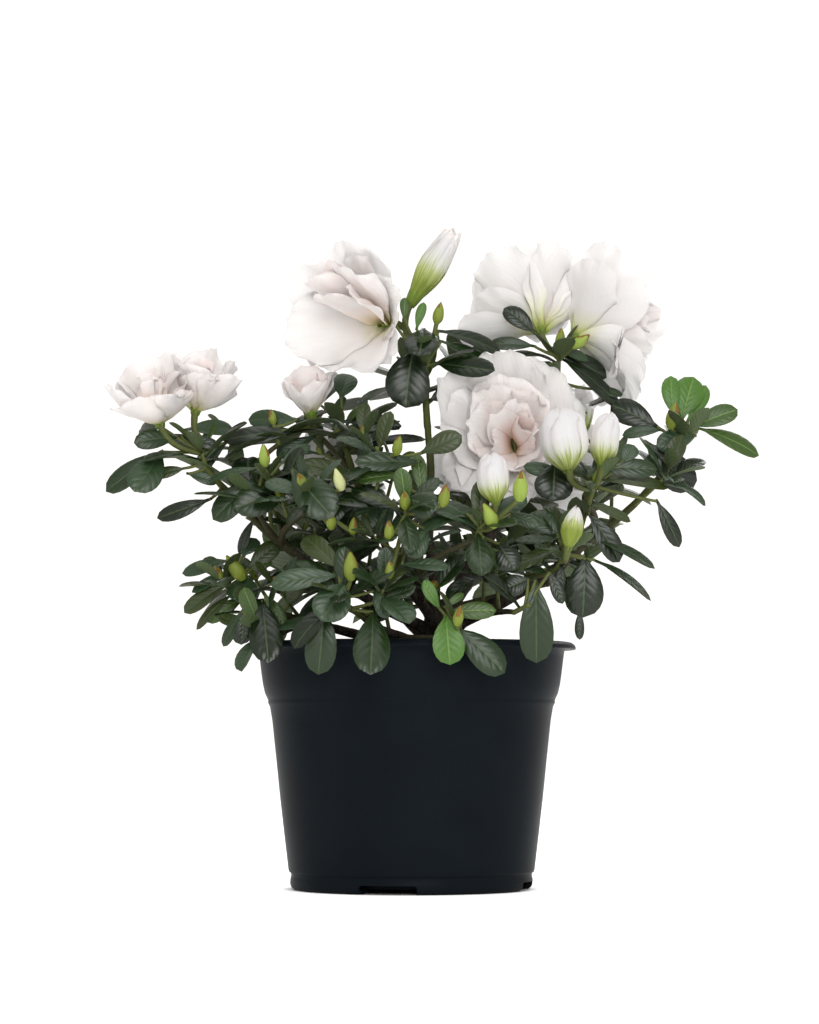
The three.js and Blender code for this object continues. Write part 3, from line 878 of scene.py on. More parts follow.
def add_leaf(heap, tone, at, aim, face, length, width, droop, forced=False):
    """Grows one leaf, raised until it clears the pot. One that can't clear it, or hits a flower, isn't grown.
    A forced leaf is flatter, and may touch a flower or cross an opening."""
    fold = 0.12 + (0.2 if forced else 0.38) * grow.random()
    twist = (grow.random() - 0.5) * (0.35 if forced else 0.7)
    sway = (grow.random() - 0.5) * 0.16
    roll = 0.16 + 0.16 * grow.random()
    for lift in range(TRIES_TO_CLEAR):
        raised = unit(aim + UP * 0.16 * lift)
        points, uvs = leaf_points(at, raised, face, length, width, droop, fold, twist, sway, roll)
        if clear_of_pot(points[len(points) // 4 :]):
            break
    else:
        return
    outer = points[len(points) // 3 :]
    if not forced and (touches_a_flower(outer) or any(map(in_an_opening, points[10::9]))):
        return
    blade = TONES.index(tone)
    slot_of = {BLADE: blade, MIDRIB: len(TONES) + (blade >= YOUNG_FROM), UNDERSIDE: len(TONES) + 2}
    heap.add(points, LEAF_FACES, [slot_of[part] for part in LEAF_PARTS], uvs, LEAF_MARGIN)


def whorl(heap, at, axis, count, length_mm, spread_from, spread_to):
    """A whorl by the golden angle: outer leaves are longest and lean out furthest, inner ones stand up."""
    turn = grow.random() * 6.28
    for i in range(count):
        inward = i / max(1, count - 1)
        turn += GOLDEN_TURN + (grow.random() - 0.5) * 0.35
        lean = math.radians(spread_from + (spread_to - spread_from) * inward + (grow.random() - 0.5) * 16)
        out = around(axis, UP + 0.01, turn)
        aim = unit(axis * math.cos(lean) + out * math.sin(lean) + UP * 0.1)
        face = unit(axis * math.sin(lean) - out * math.cos(lean) + UP * 0.6 + np.array((0, -0.12, 0)))
        size = length_mm * (1 - 0.42 * inward**1.5) * (0.84 + 0.3 * grow.random())
        width = size * (0.36 + 0.1 * grow.random())
        droop = (0.75 - 0.5 * inward) * (0.4 + 1.0 * grow.random())
        tone = grow.choice(FRESH if inward > 0.78 else OLD)
        base = at + axis * (inward * 5 - 4) * MM + out * 0.7 * MM
        add_leaf(heap, tone, base, aim, face, size * MM, width * MM, droop)


# The leaves that show best from the front. Each row is one leaf: how far right of the whorl's tip and above
# it the stalk starts, its clock direction (0 right, 90 up), its lean towards the front, its length and how
# wide it looks, in mm and degrees, and its tone.
# Leaves given the grey tone here carry a painted sheen in their colour.
SHOWN_LEAVES = {
    "leaves_left_tip": (
        (-7, 8, 168, -45, 20, 8, "mid"), (1, 7, 11, -20, 22, 7, "grey"), (-1, 4, 182, 35, 19, 8, "mid"),
        (-1, 5, -15, 20, 17, 5, "deep"), (-7, -1, -120, 35, 23, 13, "grey"), (-7, -1, -147, 5, 28, 9, "mid"),
        (2, -8, -169, 10, 13, 5, "olive"), (2, -10, -15, 10, 13, 5, "grey"),
    ),
    "leaves_left_shoulder": (
        (-16, -3, -159, 5, 23, 7, "deep"), (-1, 2, 100, -40, 22, 13, "deep"), (3, 9, 186, 5, 21, 4, "grey"),
        (3, 5, -144, 15, 25, 11, "mid"), (16, 2, -157, 20, 26, 13, "mid"), (10, 10, 40, -10, 16, 5, "grey"),
    ),
    "leaves_upper_left": (
        (14, 1, 185, 10, 31, 8, "deep"), (14, 5, 177, -10, 22, 8, "grey"), (-14, -3, 226, 10, 18, 3, "grey"),
    ),
    "leaves_half_open": (
        (-10, -2, -153, 20, 19, 6, "grey"), (-2, 3, 9, -10, 28, 7, "deep"), (-6, -3, 10, 15, 24, 9, "deep"),
        (4, -8, 20, 5, 30, 5, "deep"), (-4, 0, 80, 0, 15, 3, "grey"), (-1, 12, 78, -20, 14, 10, "grey"),
    ),
    "leaves_crest": (
        (1, 14, -95, 62, 20, 14, "deep"), (-3, 7, -101, 18, 26, 18, "deep"), (6, 13, -8, -5, 28, 6, "deep"),
        (7, 9, -19, 0, 24, 6, "mid"), (5, 0, -13, 42, 30, 9, "deep"), (3, -15, 25, 0, 10, 6, "deep"),
        (-12, 17, 98, 0, 14, 4, "bright"), (-7, 17, 84, 0, 10, 4, "young"),
        (-2, 13, 78, 5, 12, 4, "bright"),
    ),
    "leaves_middle": (
        (14, -1, 28, 10, 18, 9, "olive"), (15, -4, 180, 20, 27, 8, "mid"), (8, -9, 182, 20, 19, 5, "young"),
        (15, -18, 93, 0, 19, 6, "young"),
    ),
    "leaves_left_front": (
        (-12, 10, -52, 25, 27, 15, "mid"), (9, 1, -118, 20, 14, 9, "mid"), (20, -1, -112, 20, 14, 9, "grey"),
        (28, -2, -125, 15, 14, 8, "grey"),
    ),
    "leaves_front_middle": ((4, -8, -130, 25, 14, 9, "grey"), (-5, 4, -20, 30, 14, 11, "mid")),
    "leaves_front_left": (
        (-2, 5, 181, 10, 27, 8, "grey"), (-2, 7, 133, -15, 23, 9, "olive"), (0, 3, -120, 38, 20, 14, "grey"),
        (-8, -6, -95, 10, 27, 12, "mid"), (10, 0, -60, 25, 13, 6, "grey"), (13, -4, 18, 15, 14, 5, "mid"),
        (20, 9, 5, 10, 19, 5, "grey"), (10, -8, -90, 44, 31, 14, "mid"),
    ),
    "leaves_left_low": (
        (3, 6, 190, 0, 21, 6, "grey"), (4, 2, 201, 5, 19, 4, "grey"), (3, -2, 212, 10, 23, 6, "olive"),
        (4, -7, 213, 10, 21, 4, "olive"), (9, -8, 210, 15, 19, 6, "young"), (7, 7, 60, -20, 11, 7, "grey"),
        (9, 2, 45, -5, 17, 8, "olive"), (10, 2, 22, 0, 10, 3, "young"), (10, 0, -105, 50, 16, 12, "grey"),
        (12, 23, -119, 0, 17, 3, "deep"),
    ),
    "leaves_left_rim": (
        (-6, 3, -121, 5, 17, 4, "mid"), (-6, 2, -90, 10, 13, 8, "deep"), (1, 7, -82, 38, 31, 13, "deep"),
        (2, 9, -58, 15, 15, 6, "young"), (11, 4, 70, 20, 11, 8, "olive"),
    ),
    "leaves_over_rim": (
        (-8, 4, 122, 5, 13, 5, "bright"), (-6, 3, 7, 10, 19, 7, "young"), (-6, 3, -87, 20, 20, 12, "bright"),
        (-3, -2, -39, 10, 26, 12, "mid"), (-7, 5, 36, 0, 10, 3, "young"),
    ),
    "leaves_over_rim_right": (
        (0, 12, -89, 6, 33, 13, "mid"), (-2, 12, 205, 10, 11, 9, "deep"), (5, 15, -68, 10, 14, 5, "deep"),
    ),
    "leaves_front_right": (
        (2, 8, 90, 10, 9, 5, "deep"), (-3, -2, -110, 30, 13, 10, "grey"), (2, -4, -60, 20, 13, 10, "deep"),
        (-9, 7, 192, 10, 21, 5, "grey"), (6, 7, -20, 20, 13, 5, "mid"),
    ),
    "leaves_right_low": (
        (-10, 4, 179, 5, 19, 4, "mid"), (-9, 2, -161, 10, 25, 5, "olive"), (-12, 5, 135, -10, 15, 11, "mid"),
        (-1, 17, -13, 10, 18, 4, "olive"), (-1, 14, -52, 10, 23, 9, "deep"), (-1, 5, -18, 10, 29, 4, "mid"),
        (1, -4, -25, 5, 28, 4, "mid"), (-2, -2, -91, 15, 25, 15, "deep"), (-11, -6, -95, 5, 13, 6, "deep"),
        (-4, -23, -93, 5, 12, 3, "deep"),
    ),
    "leaves_right_shoulder": (
        (-14, 5, 168, 10, 19, 6, "grey"), (-20, 11, -95, 25, 17, 15, "deep"), (-9, 5, 27, 5, 15, 5, "grey"),
        (-4, 8, 2, 5, 24, 8, "mid"), (-9, 4, 2, 0, 34, 6, "olive"), (19, -4, -62, 5, 21, 6, "deep"),
        (6, 10, 60, -10, 9, 7, "grey"),
    ),
    "leaves_right_tip": (
        (-7, 6, 97, 0, 18, 8, "bright"), (-4, 5, 74, -10, 20, 12, "bright"),
        (-2, 4, 58, -15, 20, 7, "bright"),
        (0, 2, 26, 5, 20, 9, "young"), (2, 2, -15, 0, 28, 7, "young"), (2, -1, 190, 35, 19, 9, "grey"),
        (-19, -3, -48, 12, 28, 14, "deep"), (-13, 2, 150, 0, 22, 11, "deep"),
        (-11, 1, 178, 10, 17, 5, "grey"),
    ),
    "leaves_upper_right": (
        (-6, 9, 135, 5, 17, 8, "deep"), (-6, 4, 172, 10, 19, 6, "mid"), (-2, 4, -9, 10, 18, 4, "grey"),
        (2, 3, -27, -8, 24, 9, "deep"), (3, 0, -32, 10, 33, 6, "deep"), (15, -13, -5, 0, 14, 4, "mid"),
    ),
}
# How far right of the middle of its leaves' stalks, and how far above, each of these whorls' tips stands.
WHORL_LEANS_MM = {
    "leaves_crest": (2, -1), "leaves_upper_left": (4, 2), "leaves_left_tip": (8, -1.3),
    "leaves_left_front": (-5, 0), "leaves_left_shoulder": (0, -2), "leaves_left_rim": (1, -5),
    "leaves_left_low": (0, -3), "leaves_front_left": (-2, -2), "leaves_front_middle": (-5, -1),
    "leaves_front_right": (-5, 2), "leaves_over_rim": (-1, -2), "leaves_over_rim_right": (-4, 1),
    "leaves_right_low": (-10, -2), "leaves_right_shoulder": (-5, 1), "leaves_right_tip": (-2, -1.5),
    "leaves_upper_right": (3, 0), "leaves_middle": (-2, -1),
}
# How many leaves each whorl gets at random, and how long: hidden whorls, shown ones, and one kept thin.
HIDDEN_WHORL, SHOWN_WHORL = (13, 31), (7, 25)
THIN_WHORLS = {"leaves_over_rim": (3, 25)}
OLD = ("deep", "deep", "mid", "mid", "mid", "grey", "grey", "olive")
FRESH = ("mid", "olive", "olive", "young")
FRONT = np.array((0.0, -1.0, 0.0))
STALK_STEPS, STALK_SIDES = 6, 7
STALK_THICK_MM, STALK_THIN_MM = 0.8, 0.55

stalks = Gathered()
all_wood = [spot for path in limbs.values() for spot in path[3:]]
all_wood += [whorl_at[name] - facing[name] * share * NECK for name in FACES for share in (0, 0.3, 0.6, 0.9)]
for name in FACES:
    shown = SHOWN_LEAVES.get(name, ())
    tip_right, tip_up = WHORL_LEANS_MM.get(name, (0, 0))
    for right, rise, clock, lean, length, looks_wide, tone in shown:
        base = whorl_at[name] + np.array((right - tip_right, 0, rise - tip_up)) * MM
        turn, forward = math.radians(clock), math.radians(lean)
        aim = np.array((math.cos(turn), 0, math.sin(turn))) * math.cos(forward) + FRONT * math.sin(forward)
        width = max(looks_wide, 0.31 * length)
        seen = min(0.97, looks_wide / width)
        face = UP * math.sqrt(1 - seen**2) + FRONT * seen
        droop = 0.2 + 0.45 * grow.random()
        add_leaf(leaf_heaps[name], tone, base, aim, face, length * MM, width * MM, droop, forced=True)
        spine = min(all_wood, key=lambda spot: np.linalg.norm(spot - base))
        if np.linalg.norm(base - spine) > 2 * MM:
            path = bend_through(spine, (spine + base) / 2 - UP * MM, base + aim * MM, STALK_STEPS)
            radii = np.linspace(STALK_THICK_MM, STALK_THIN_MM, STALK_STEPS) * MM
            points, faces, uvs = tube(path, radii, STALK_SIDES)
            stalks.add(points, faces, 0, uvs)
    count, size = THIN_WHORLS.get(name, SHOWN_WHORL if shown else HIDDEN_WHORL)
    whorl(leaf_heaps[name], whorl_at[name], facing[name], count, size, 88, 28)
for shoot in side_shoots:
    nearest = min(whorl_at, key=lambda name: np.linalg.norm(whorl_at[name] - shoot["tip"]))
    count = grow.randint(5, 8)
    whorl(leaf_heaps[nearest], shoot["tip"], shoot["aim"], count, grow.uniform(20, 28), 80, 30)


def leaf_skin(name, colour, roughness, veins):
    """Leather-like leaf skin of one colour. Side veins and fine pores are relief, and the gloss varies."""
    made, tree, shader = new_skin(name)
    set_sockets(shader, Base_Color=linear(colour), Specular_IOR_Level=0.5)
    place = add_node(tree, "ShaderNodeTexCoord")
    where = [("Vector", place.outputs["Object"])]
    blotches = add_node(tree, "ShaderNodeTexNoise", where, in_Scale=260.0)
    gloss = add_node(
        tree, "ShaderNodeMapRange", [("Value", blotches.outputs["Fac"])],
        in_To_Min=roughness - 0.08, in_To_Max=roughness + 0.1,
    )
    tree.links.new(gloss.outputs[0], shader.inputs["Roughness"])
    across = add_node(tree, "ShaderNodeSeparateXYZ", [("Vector", place.outputs["UV"])])
    from_rib = add_node(tree, "ShaderNodeMath", [(0, across.outputs["X"])], operation="SUBTRACT", in_1=0.5)
    outward = add_node(tree, "ShaderNodeMath", [(0, from_rib.outputs[0])], operation="ABSOLUTE")
    slant = add_node(tree, "ShaderNodeMath", [(0, outward.outputs[0])], operation="MULTIPLY", in_1=-0.5)
    along = add_node(
        tree, "ShaderNodeMath", [(0, across.outputs["Y"]), (1, slant.outputs[0])], operation="ADD",
    )
    repeat = add_node(
        tree, "ShaderNodeMath", [(0, along.outputs[0])], operation="MULTIPLY", in_1=SIDE_VEINS * math.pi,
    )
    wave = add_node(tree, "ShaderNodeMath", [(0, repeat.outputs[0])], operation="SINE")
    ridge = add_node(tree, "ShaderNodeMath", [(0, wave.outputs[0])], operation="ABSOLUTE")
    pores = add_node(tree, "ShaderNodeTexNoise", where, in_Scale=1400.0)
    fine = add_node(tree, "ShaderNodeMath", [(0, pores.outputs["Fac"])], operation="MULTIPLY", in_1=0.35)
    height = add_node(tree, "ShaderNodeMath", [(0, ridge.outputs[0]), (1, fine.outputs[0])], operation="ADD")
    relief = add_node(
        tree, "ShaderNodeBump", [("Height", height.outputs[0])], in_Strength=veins, in_Distance=0.6 * MM,
    )
    tree.links.new(relief.outputs[0], shader.inputs["Normal"])
    return made


# Mature leaves are dark green with a waxy, half-matt skin that catches the light. The grey tone is paler and
# greyer:
# partly the leaves' own variation, partly a painted sheen on the leaves that show one. This spring's leaves
# are thinner and yellow-green. Undersides are pale and dull, and midribs are paler too.
leaf_skins = [
    leaf_skin("azalea_leaf_deep", "#101f09", 0.3, 0.16),
    leaf_skin("azalea_leaf_mid", "#1c3112", 0.34, 0.16),
    # Paler grey-green: partly the leaves' own tone, partly painted sheen.
    leaf_skin("azalea_leaf_grey_painted_sheen", "#2c4228", 0.36, 0.18),
    leaf_skin("azalea_leaf_olive", "#323f18", 0.38, 0.18),
    leaf_skin("azalea_leaf_young", "#38521a", 0.38, 0.18),
    leaf_skin("azalea_leaf_bright", "#466f20", 0.38, 0.18),
    leaf_skin("azalea_midrib_mature", "#3a4d2c", 0.5, 0.2),
    leaf_skin("azalea_midrib_young", "#65883a", 0.5, 0.2),
    leaf_skin("azalea_leaf_underside", "#4a5a34", 0.62, 0.25),
]
stalk_piece = new_object("leaf_stalks", stalks.mesh("leaf_stalks", [shoot_skin]))
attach(stalk_piece, "root")
for name, heap in leaf_heaps.items():
    piece = new_object(name.replace("leaves_", "foliage_"), heap.mesh(name, leaf_skins))
    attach(piece, "root")
    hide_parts(name)


# ---------------------------------------------------------------- blooms
# Double florist's azalea flowers: a short funnel that splits into broad ruffled petals, with smaller petals
# and crumpled petal-like stamens crowding its throat. They are thin and crisp, white with a flesh-pink
# flush inside.
PETAL_ROWS = 18
PETAL_ACROSS = 18
PETAL_THICK = 0.26 * MM
FUNNEL_CUP = 1.15

# The petals of the flowers that face the front. Each row is one petal: how far right of the calyx, in front
# of it and above it the petal ends, half its width, its cup, how bowl-like it bends, and its pink flush.
SHOWN_PETALS_MM = {
    "bloom_left_outer": (
        (-4, 14, 10, 19, 0.8, 0.9, 0.3), (-21, 6, 15, 10, 0.9, 0.75, 0.2), (11, 10, 13, 13, 0.8, 0.85, 0.4),
        (-8, -7, 28, 17, 0.6, 0.6, 0.1), (8, -9, 27, 16, 0.6, 0.6, 0.15), (-15, -3, 21, 12, 0.7, 0.6, 0.2),
        (-8, 4, 19, 9, 1.0, 0.3, 0.8), (1, 4, 18, 9, 1.1, 0.3, 0.9), (7, 0, 21, 9, 1.0, 0.3, 0.7),
        (-2, -2, 23, 9, 1.0, 0.3, 0.5),
    ),
    "bloom_left_inner": (
        (15, 5, 14, 13, 0.8, 0.8, 0.25), (7, -6, 27, 16, 0.6, 0.6, 0.15), (14, -4, 20, 14, 0.7, 0.7, 0.2),
        (6, 10, 14, 11, 0.8, 0.7, 0.4), (-8, -7, 24, 14, 0.6, 0.6, 0.1), (-5, 6, 19, 11, 0.8, 0.5, 0.4),
        (5, 2, 21, 10, 1.0, 0.3, 0.7), (0, -1, 21, 8, 1.2, 0.3, 0.6),
    ),
    "bloom_upper_left": (
        (-26, 14, -22, 21, 0.3, 0.4, 0.05), (-42, 12, -6, 16, 0.3, 0.3, 0.05),
        (-6, 17, -20, 14, 0.4, 0.45, 0.1),
        (-39, 12, 20, 14, 0.35, 0.2, 0.1), (-25, 6, 28, 15, 0.4, 0.3, 0.2), (-9, 17, 28, 12, 0.5, 0.5, 0.05),
        (2, 26, 6, 15, 0.7, 0.5, 0.05), (-14, 18, 24, 12, 0.5, 0.4, 0.2),
        (-25, 20, 21, 12, 0.9, 0.25, 0.6), (-31, 26, 14, 11, -1.0, 0.25, 0.35),
        (-21, 31, 17, 12, -1.2, 0.25, 0.3),
        (-28, 30, 5, 9, -0.8, 0.2, 0.6), (-17, 31, 8, 9, -0.7, 0.3, 0.6),
    ),
    "bloom_half_open": (
        (-11, 4, 14, 8, 0.9, 0.6, 0.15), (-3, 7, 20, 10, 1.0, 0.5, 0.7), (9, 3, 18, 9, 0.9, 0.5, 0.3),
        (3, 8, 14, 8, 1.0, 0.6, 0.4), (-5, -6, 19, 11, 0.9, 0.5, 0.1), (6, -6, 19, 11, 0.9, 0.5, 0.1),
        (-2, 1, 20, 7, 1.2, 0.3, 0.7), (3, 0, 20, 7, 1.2, 0.3, 0.7),
    ),
    "bloom_top": (
        (-27, -12, 26, 21, 0.2, 0.3, 0.0), (-5, -16, 37, 22, 0.2, 0.3, 0.0),
        (13, -18, 32, 20, 0.25, 0.3, 0.05),
        (-26, -11, 10, 13, 0.35, 0.4, 0.0), (-2, -35, 18, 19, 0.3, 0.3, 0.05),
        (18, -32, 12, 16, 0.3, 0.3, 0.1),
        (-20, -30, 12, 16, 0.3, 0.3, 0.1), (-12, -22, 28, 14, 0.5, 0.3, 0.3), (3, -26, 27, 14, 0.5, 0.3, 0.3),
        (9, -27, 20, 12, 0.6, 0.3, 0.4), (-9, -28, 19, 11, 0.7, 0.2, 0.5), (0, -24, 24, 7, 1.0, 0.2, 0.8),
        (-4, -26, 20, 7, 1.0, 0.2, 0.9), (5, -26, 18, 7, 1.0, 0.2, 0.9), (-35, -8, -5, 11, 0.3, 0.5, 0.0),
    ),
    "bloom_top_right": (
        (21, 8, 34, 21, 0.3, 0.3, 0.0), (34, 3, 22, 17, 0.3, 0.3, 0.05), (38, 0, 4, 12, 0.4, 0.3, 0.2),
        (17, 20, -14, 10, 0.5, 0.5, 0.0), (26, 8, -26, 13, 0.35, 0.45, 0.0), (5, 2, 32, 15, 0.35, 0.4, 0.0),
        (31, -3, -8, 11, 0.5, 0.4, 0.2), (25, -24, 14, 17, 0.35, 0.3, 0.0), (8, -27, 20, 16, 0.35, 0.4, 0.05),
        (13, -6, -27, 12, 0.35, 0.4, 0.0),
        (30, -14, -6, 13, 0.4, 0.3, 0.1), (30, 4, 9, 11, 0.7, 0.2, 0.5), (28, -8, 13, 12, 0.7, 0.2, 0.5),
        (24, -6, 20, 10, 0.9, 0.2, 0.6), (27, -4, 3, 8, 1.0, 0.2, 0.8), (29, -2, 9, 7, -0.9, 0.2, 0.8),
    ),
    "bloom_centre": (
        (-31, 20, 26, 15, 0.35, 0.25, 0.0), (-3, 18, 38, 17, 0.4, 0.35, 0.1),
        (17, 17, 30, 17, 0.35, 0.3, 0.05),
        (27, 14, 17, 15, 0.35, 0.3, 0.0), (14, 24, -3, 12, 0.5, 0.3, 0.4), (11, 20, -18, 13, 0.4, 0.3, 0.3),
        (-17, 21, -24, 17, 0.3, 0.25, 0.05), (-29, 20, -12, 13, 0.35, 0.25, 0.1),
        (-36, 11, -12, 12, 0.3, 0.3, 0.0),
        (-30, 20, 9, 17, 0.35, 0.25, 0.05), (-19, 27, 4, 14, 0.4, 0.2, 0.5),
        (-15, 24, 20, 13, 0.5, 0.25, 0.3),
        (-2, 23, 27, 16, 0.4, 0.3, 0.35), (12, 24, 16, 14, 0.45, 0.3, 0.35), (9, 28, -3, 12, 0.5, 0.3, 0.6),
        (-12, 27, -9, 13, 0.5, 0.2, 0.55), (-9, 30, 11, 9, 0.8, 0.2, 0.7), (4, 29, 15, 9, 0.8, 0.2, 0.8),
        (-10, 32, 3, 6, -0.9, 0.2, 0.9), (1, 33, 6, 6, -1.1, 0.2, 0.9), (7, 31, 2, 6, -0.8, 0.2, 0.9),
        (3, 31, 11, 5, -0.9, 0.2, 0.9),
    ),
}
# Which way each flower's CAD solid faces, as bearing and tip, and the few that their stalks turn from it.
SHOWN_FACING = {
    "bloom_left_outer": (200, 14), "bloom_left_inner": (40, 14), "bloom_upper_left": (-132, 92),
    "bloom_half_open": (-130, 12), "bloom_top": (98, 42), "bloom_top_right": (12, 80),
    "bloom_centre": (-94, 84),
}
TURNED_ON_ITS_STALK = {"bloom_top_right": (40, 66), "bud_tall": (-12, 32)}

# The flowers at the back open evenly. Each ring: how many petals, how far out and up they end as shares of
# the flower's radius and depth, half their width as a share of the radius, their cup, bowl and flush.
RINGS = (
    (5, 1.0, 0.7, 0.52, 0.35, 0.3, 0.05),
    (5, 0.84, 0.86, 0.46, 0.45, 0.3, 0.2),
    (5, 0.58, 0.98, 0.36, 0.7, 0.25, 0.5),
    (4, 0.34, 1.0, 0.24, 1.0, 0.2, 0.8),
    (4, 0.16, 0.98, 0.17, 1.2, 0.2, 1.0),
)
EVEN_FLOWERS = {"bloom_back": (75, 66), "bloom_back_left": (130, 56)}


def grid_faces(rows, across):
    """The faces of a thin shell over a grid, with an outer and an inner skin, and the edges of its rim."""
    wide = across + 1
    inner = {}
    count = (rows + 1) * wide
    for i in range(rows + 1):
        for j in range(wide):
            if 0 < i < rows and 0 < j < across:
                inner[i, j] = count
                count += 1
            else:
                inner[i, j] = i * wide + j
    faces = []
    for i in range(rows):
        for j in range(across):
            a, b, c, d = (i, j), (i, j + 1), (i + 1, j + 1), (i + 1, j)
            faces.append([x * wide + y for x, y in (a, b, c, d)])
            faces.append([inner[corner] for corner in (d, c, b, a)])
    rim = [(i * wide + j, (i + 1) * wide + j) for i in range(rows) for j in (0, across)]
    rim += [(i * wide + j, i * wide + j + 1) for i in (0, rows) for j in range(across)]
    return faces, rim


def unit_rows(vectors):
    return vectors / np.maximum(np.linalg.norm(vectors, axis=-1, keepdims=True), 1e-9)


def thin_shell(grid, thickness):
    """The points of a thin shell: the grid, which is its outer skin, then the inner skin's own points."""
    down = np.gradient(grid, axis=0)
    over = np.gradient(grid, axis=1)
    sunk = grid - unit_rows(np.cross(over, down)) * thickness
    return np.concatenate([grid.reshape(-1, 3), sunk[1:-1, 1:-1].reshape(-1, 3)])


def shell_uvs(across, along):
    uv = np.stack(np.broadcast_arrays(across, along), axis=-1)
    return np.concatenate([uv.reshape(-1, 2), uv[1:-1, 1:-1].reshape(-1, 2)])


PETAL_FACES, PETAL_RIM = grid_faces(PETAL_ROWS, PETAL_ACROSS)


def add_petal(heap, foot, axis, depth, tip, half_width, cup, bowl, flush, dice):
    """One petal. It leaves the foot along the axis, bends out to its tip, and hollows towards the axis."""
    rows = np.linspace(0, 1, PETAL_ROWS + 1)[:, None]
    cols = np.linspace(-1, 1, PETAL_ACROSS + 1)[None, :]
    wander = [dice.uniform(0, 6.28) for _ in range(8)]
    notch = 0.04 * dice.uniform(0.1, 1) * np.exp(-(((cols - dice.uniform(-0.3, 0.3)) * 6) ** 2))
    nibbled = 0.014 * np.sin(6 * cols + wander[0]) + 0.012 * np.sin(17 * cols + wander[1])
    s = rows**0.9 * (1 - 0.24 * np.abs(cols) ** 3 - notch + nibbled)
    reach = tip - foot
    out = square_to(axis, reach + axis * 1e-5)
    far = np.linalg.norm(reach - axis * np.dot(reach, axis)) + 2 * MM
    knee = foot + axis * depth * 0.62 * (1 - bowl) + out * far * (0.14 + 0.8 * bowl)
    t = s[..., None]
    spine = foot * (1 - t) ** 2 + knee * 2 * t * (1 - t) + tip * t**2
    ahead = unit_rows((knee - foot) * (1 - t) + (tip - knee) * t)
    inside = axis * 0.6 - out
    inward = unit_rows(inside - ahead * (ahead @ inside)[..., None])
    side = np.cross(inward, ahead)
    late = np.clip((s - 0.6) / 0.4, 0, 1.1)
    widening = 0.13 + 0.87 * np.sin(math.pi / 2 * np.clip(s / 0.6, 0, 1)) ** 1.15
    half = half_width * widening * (1 - 0.22 * late**2)
    bent = FUNNEL_CUP + (cup - FUNNEL_CUP) * np.clip(s / 0.7, 0, 1)
    bent = np.where(np.abs(bent) < 0.01, 0.01, bent)
    around_petal = np.arctan2(cols, (s - 0.45) * 1.6)
    from_middle = np.hypot(cols, (s - 0.45) * 1.7)
    loose = np.clip((from_middle - 0.3) / 0.7, 0, 1.15) ** 1.7 * np.clip(s / 0.3, 0, 1)
    wave = 0.7 * np.sin(4 * around_petal + wander[2]) + 0.6 * np.sin(8 * around_petal + wander[3])
    wave += 0.35 * np.sin(14 * around_petal + wander[4]) * from_middle**2
    swell = 0.5 * s * np.sin(2.8 * cols + wander[5]) + 0.35 * s * s * np.sin(5.2 * cols + wander[6])
    furrow = -0.3 * np.exp(-((cols * 7) ** 2)) * np.sin(math.pi * np.clip(s, 0, 1))
    curl = dice.uniform(-1.5, 0.5) * late**2
    lift = half_width * (0.09 * loose * wave + 0.07 * swell + 0.05 * furrow + 0.12 * curl)
    sway = half_width * dice.uniform(-0.3, 0.3) * s**2
    across = half * np.sin(cols * bent) / bent + sway
    hollow = half * (1 - np.cos(cols * bent)) / bent + lift
    grid = spine + side * across[..., None] + inward * hollow[..., None]
    heap.add(thin_shell(grid, PETAL_THICK), PETAL_FACES, 0, shell_uvs(0.5 + 0.5 * cols, s), PETAL_RIM, flush)


def measured_from(node, axis):
    """The calyx, the radius and the depth of a flower's CAD solid that faces along axis."""
    corners = np.array([corner.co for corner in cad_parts[node].data.vertices])
    along = corners @ axis
    calyx = corners[along.argmin()]
    out = corners - calyx - np.outer(along - along.min(), axis)
    return calyx, np.linalg.norm(out, axis=1).max(), along.max() - along.min()


# Azalea petal: soft, cool white and slightly see-through, with a crepe of fine veins, a flush of flesh pink
# where it folds towards the throat, and yellow-green at the foot of the funnel, darkened to olive-brown on
# the flushed inner petals as painted shade.
petal_skin, tree, shader = new_skin("white_azalea_petal")
set_sockets(shader, Roughness=0.55, Specular_IOR_Level=0.25)
set_sockets(shader, Subsurface_Weight=0.6, Subsurface_Radius=(0.002, 0.0021, 0.0022), Subsurface_Scale=1.0)
place = add_node(tree, "ShaderNodeTexCoord")
length = add_node(tree, "ShaderNodeSeparateXYZ", [("Vector", place.outputs["UV"])])
flush = add_node(tree, "ShaderNodeAttribute", attribute_name="blush")
where = [("Vector", place.outputs["Object"])]
clouds = add_node(tree, "ShaderNodeTexNoise", where, in_Scale=110.0, in_Detail=3.0)
patchy = add_node(
    tree, "ShaderNodeMapRange", [("Value", clouds.outputs["Fac"])], in_From_Min=0.3, in_From_Max=0.62,
)
much = add_node(
    tree, "ShaderNodeMath", [(0, patchy.outputs[0]), (1, flush.outputs["Fac"])], operation="MULTIPLY",
)
pink = add_node(
    tree, "ShaderNodeMix", [("Factor", much.outputs[0])], data_type="RGBA",
    in_6=linear("#f5f3f2"), in_7=linear("#fae3dd"),
)
outside = add_node(tree, "ShaderNodeValToRGB", [("Fac", length.outputs["Y"])])
colour_stops(outside, (0.03, "#97a83c"), (0.09, "#cfdb86"), (0.19, "#f2f4d4"), (0.36, "#ffffff"))
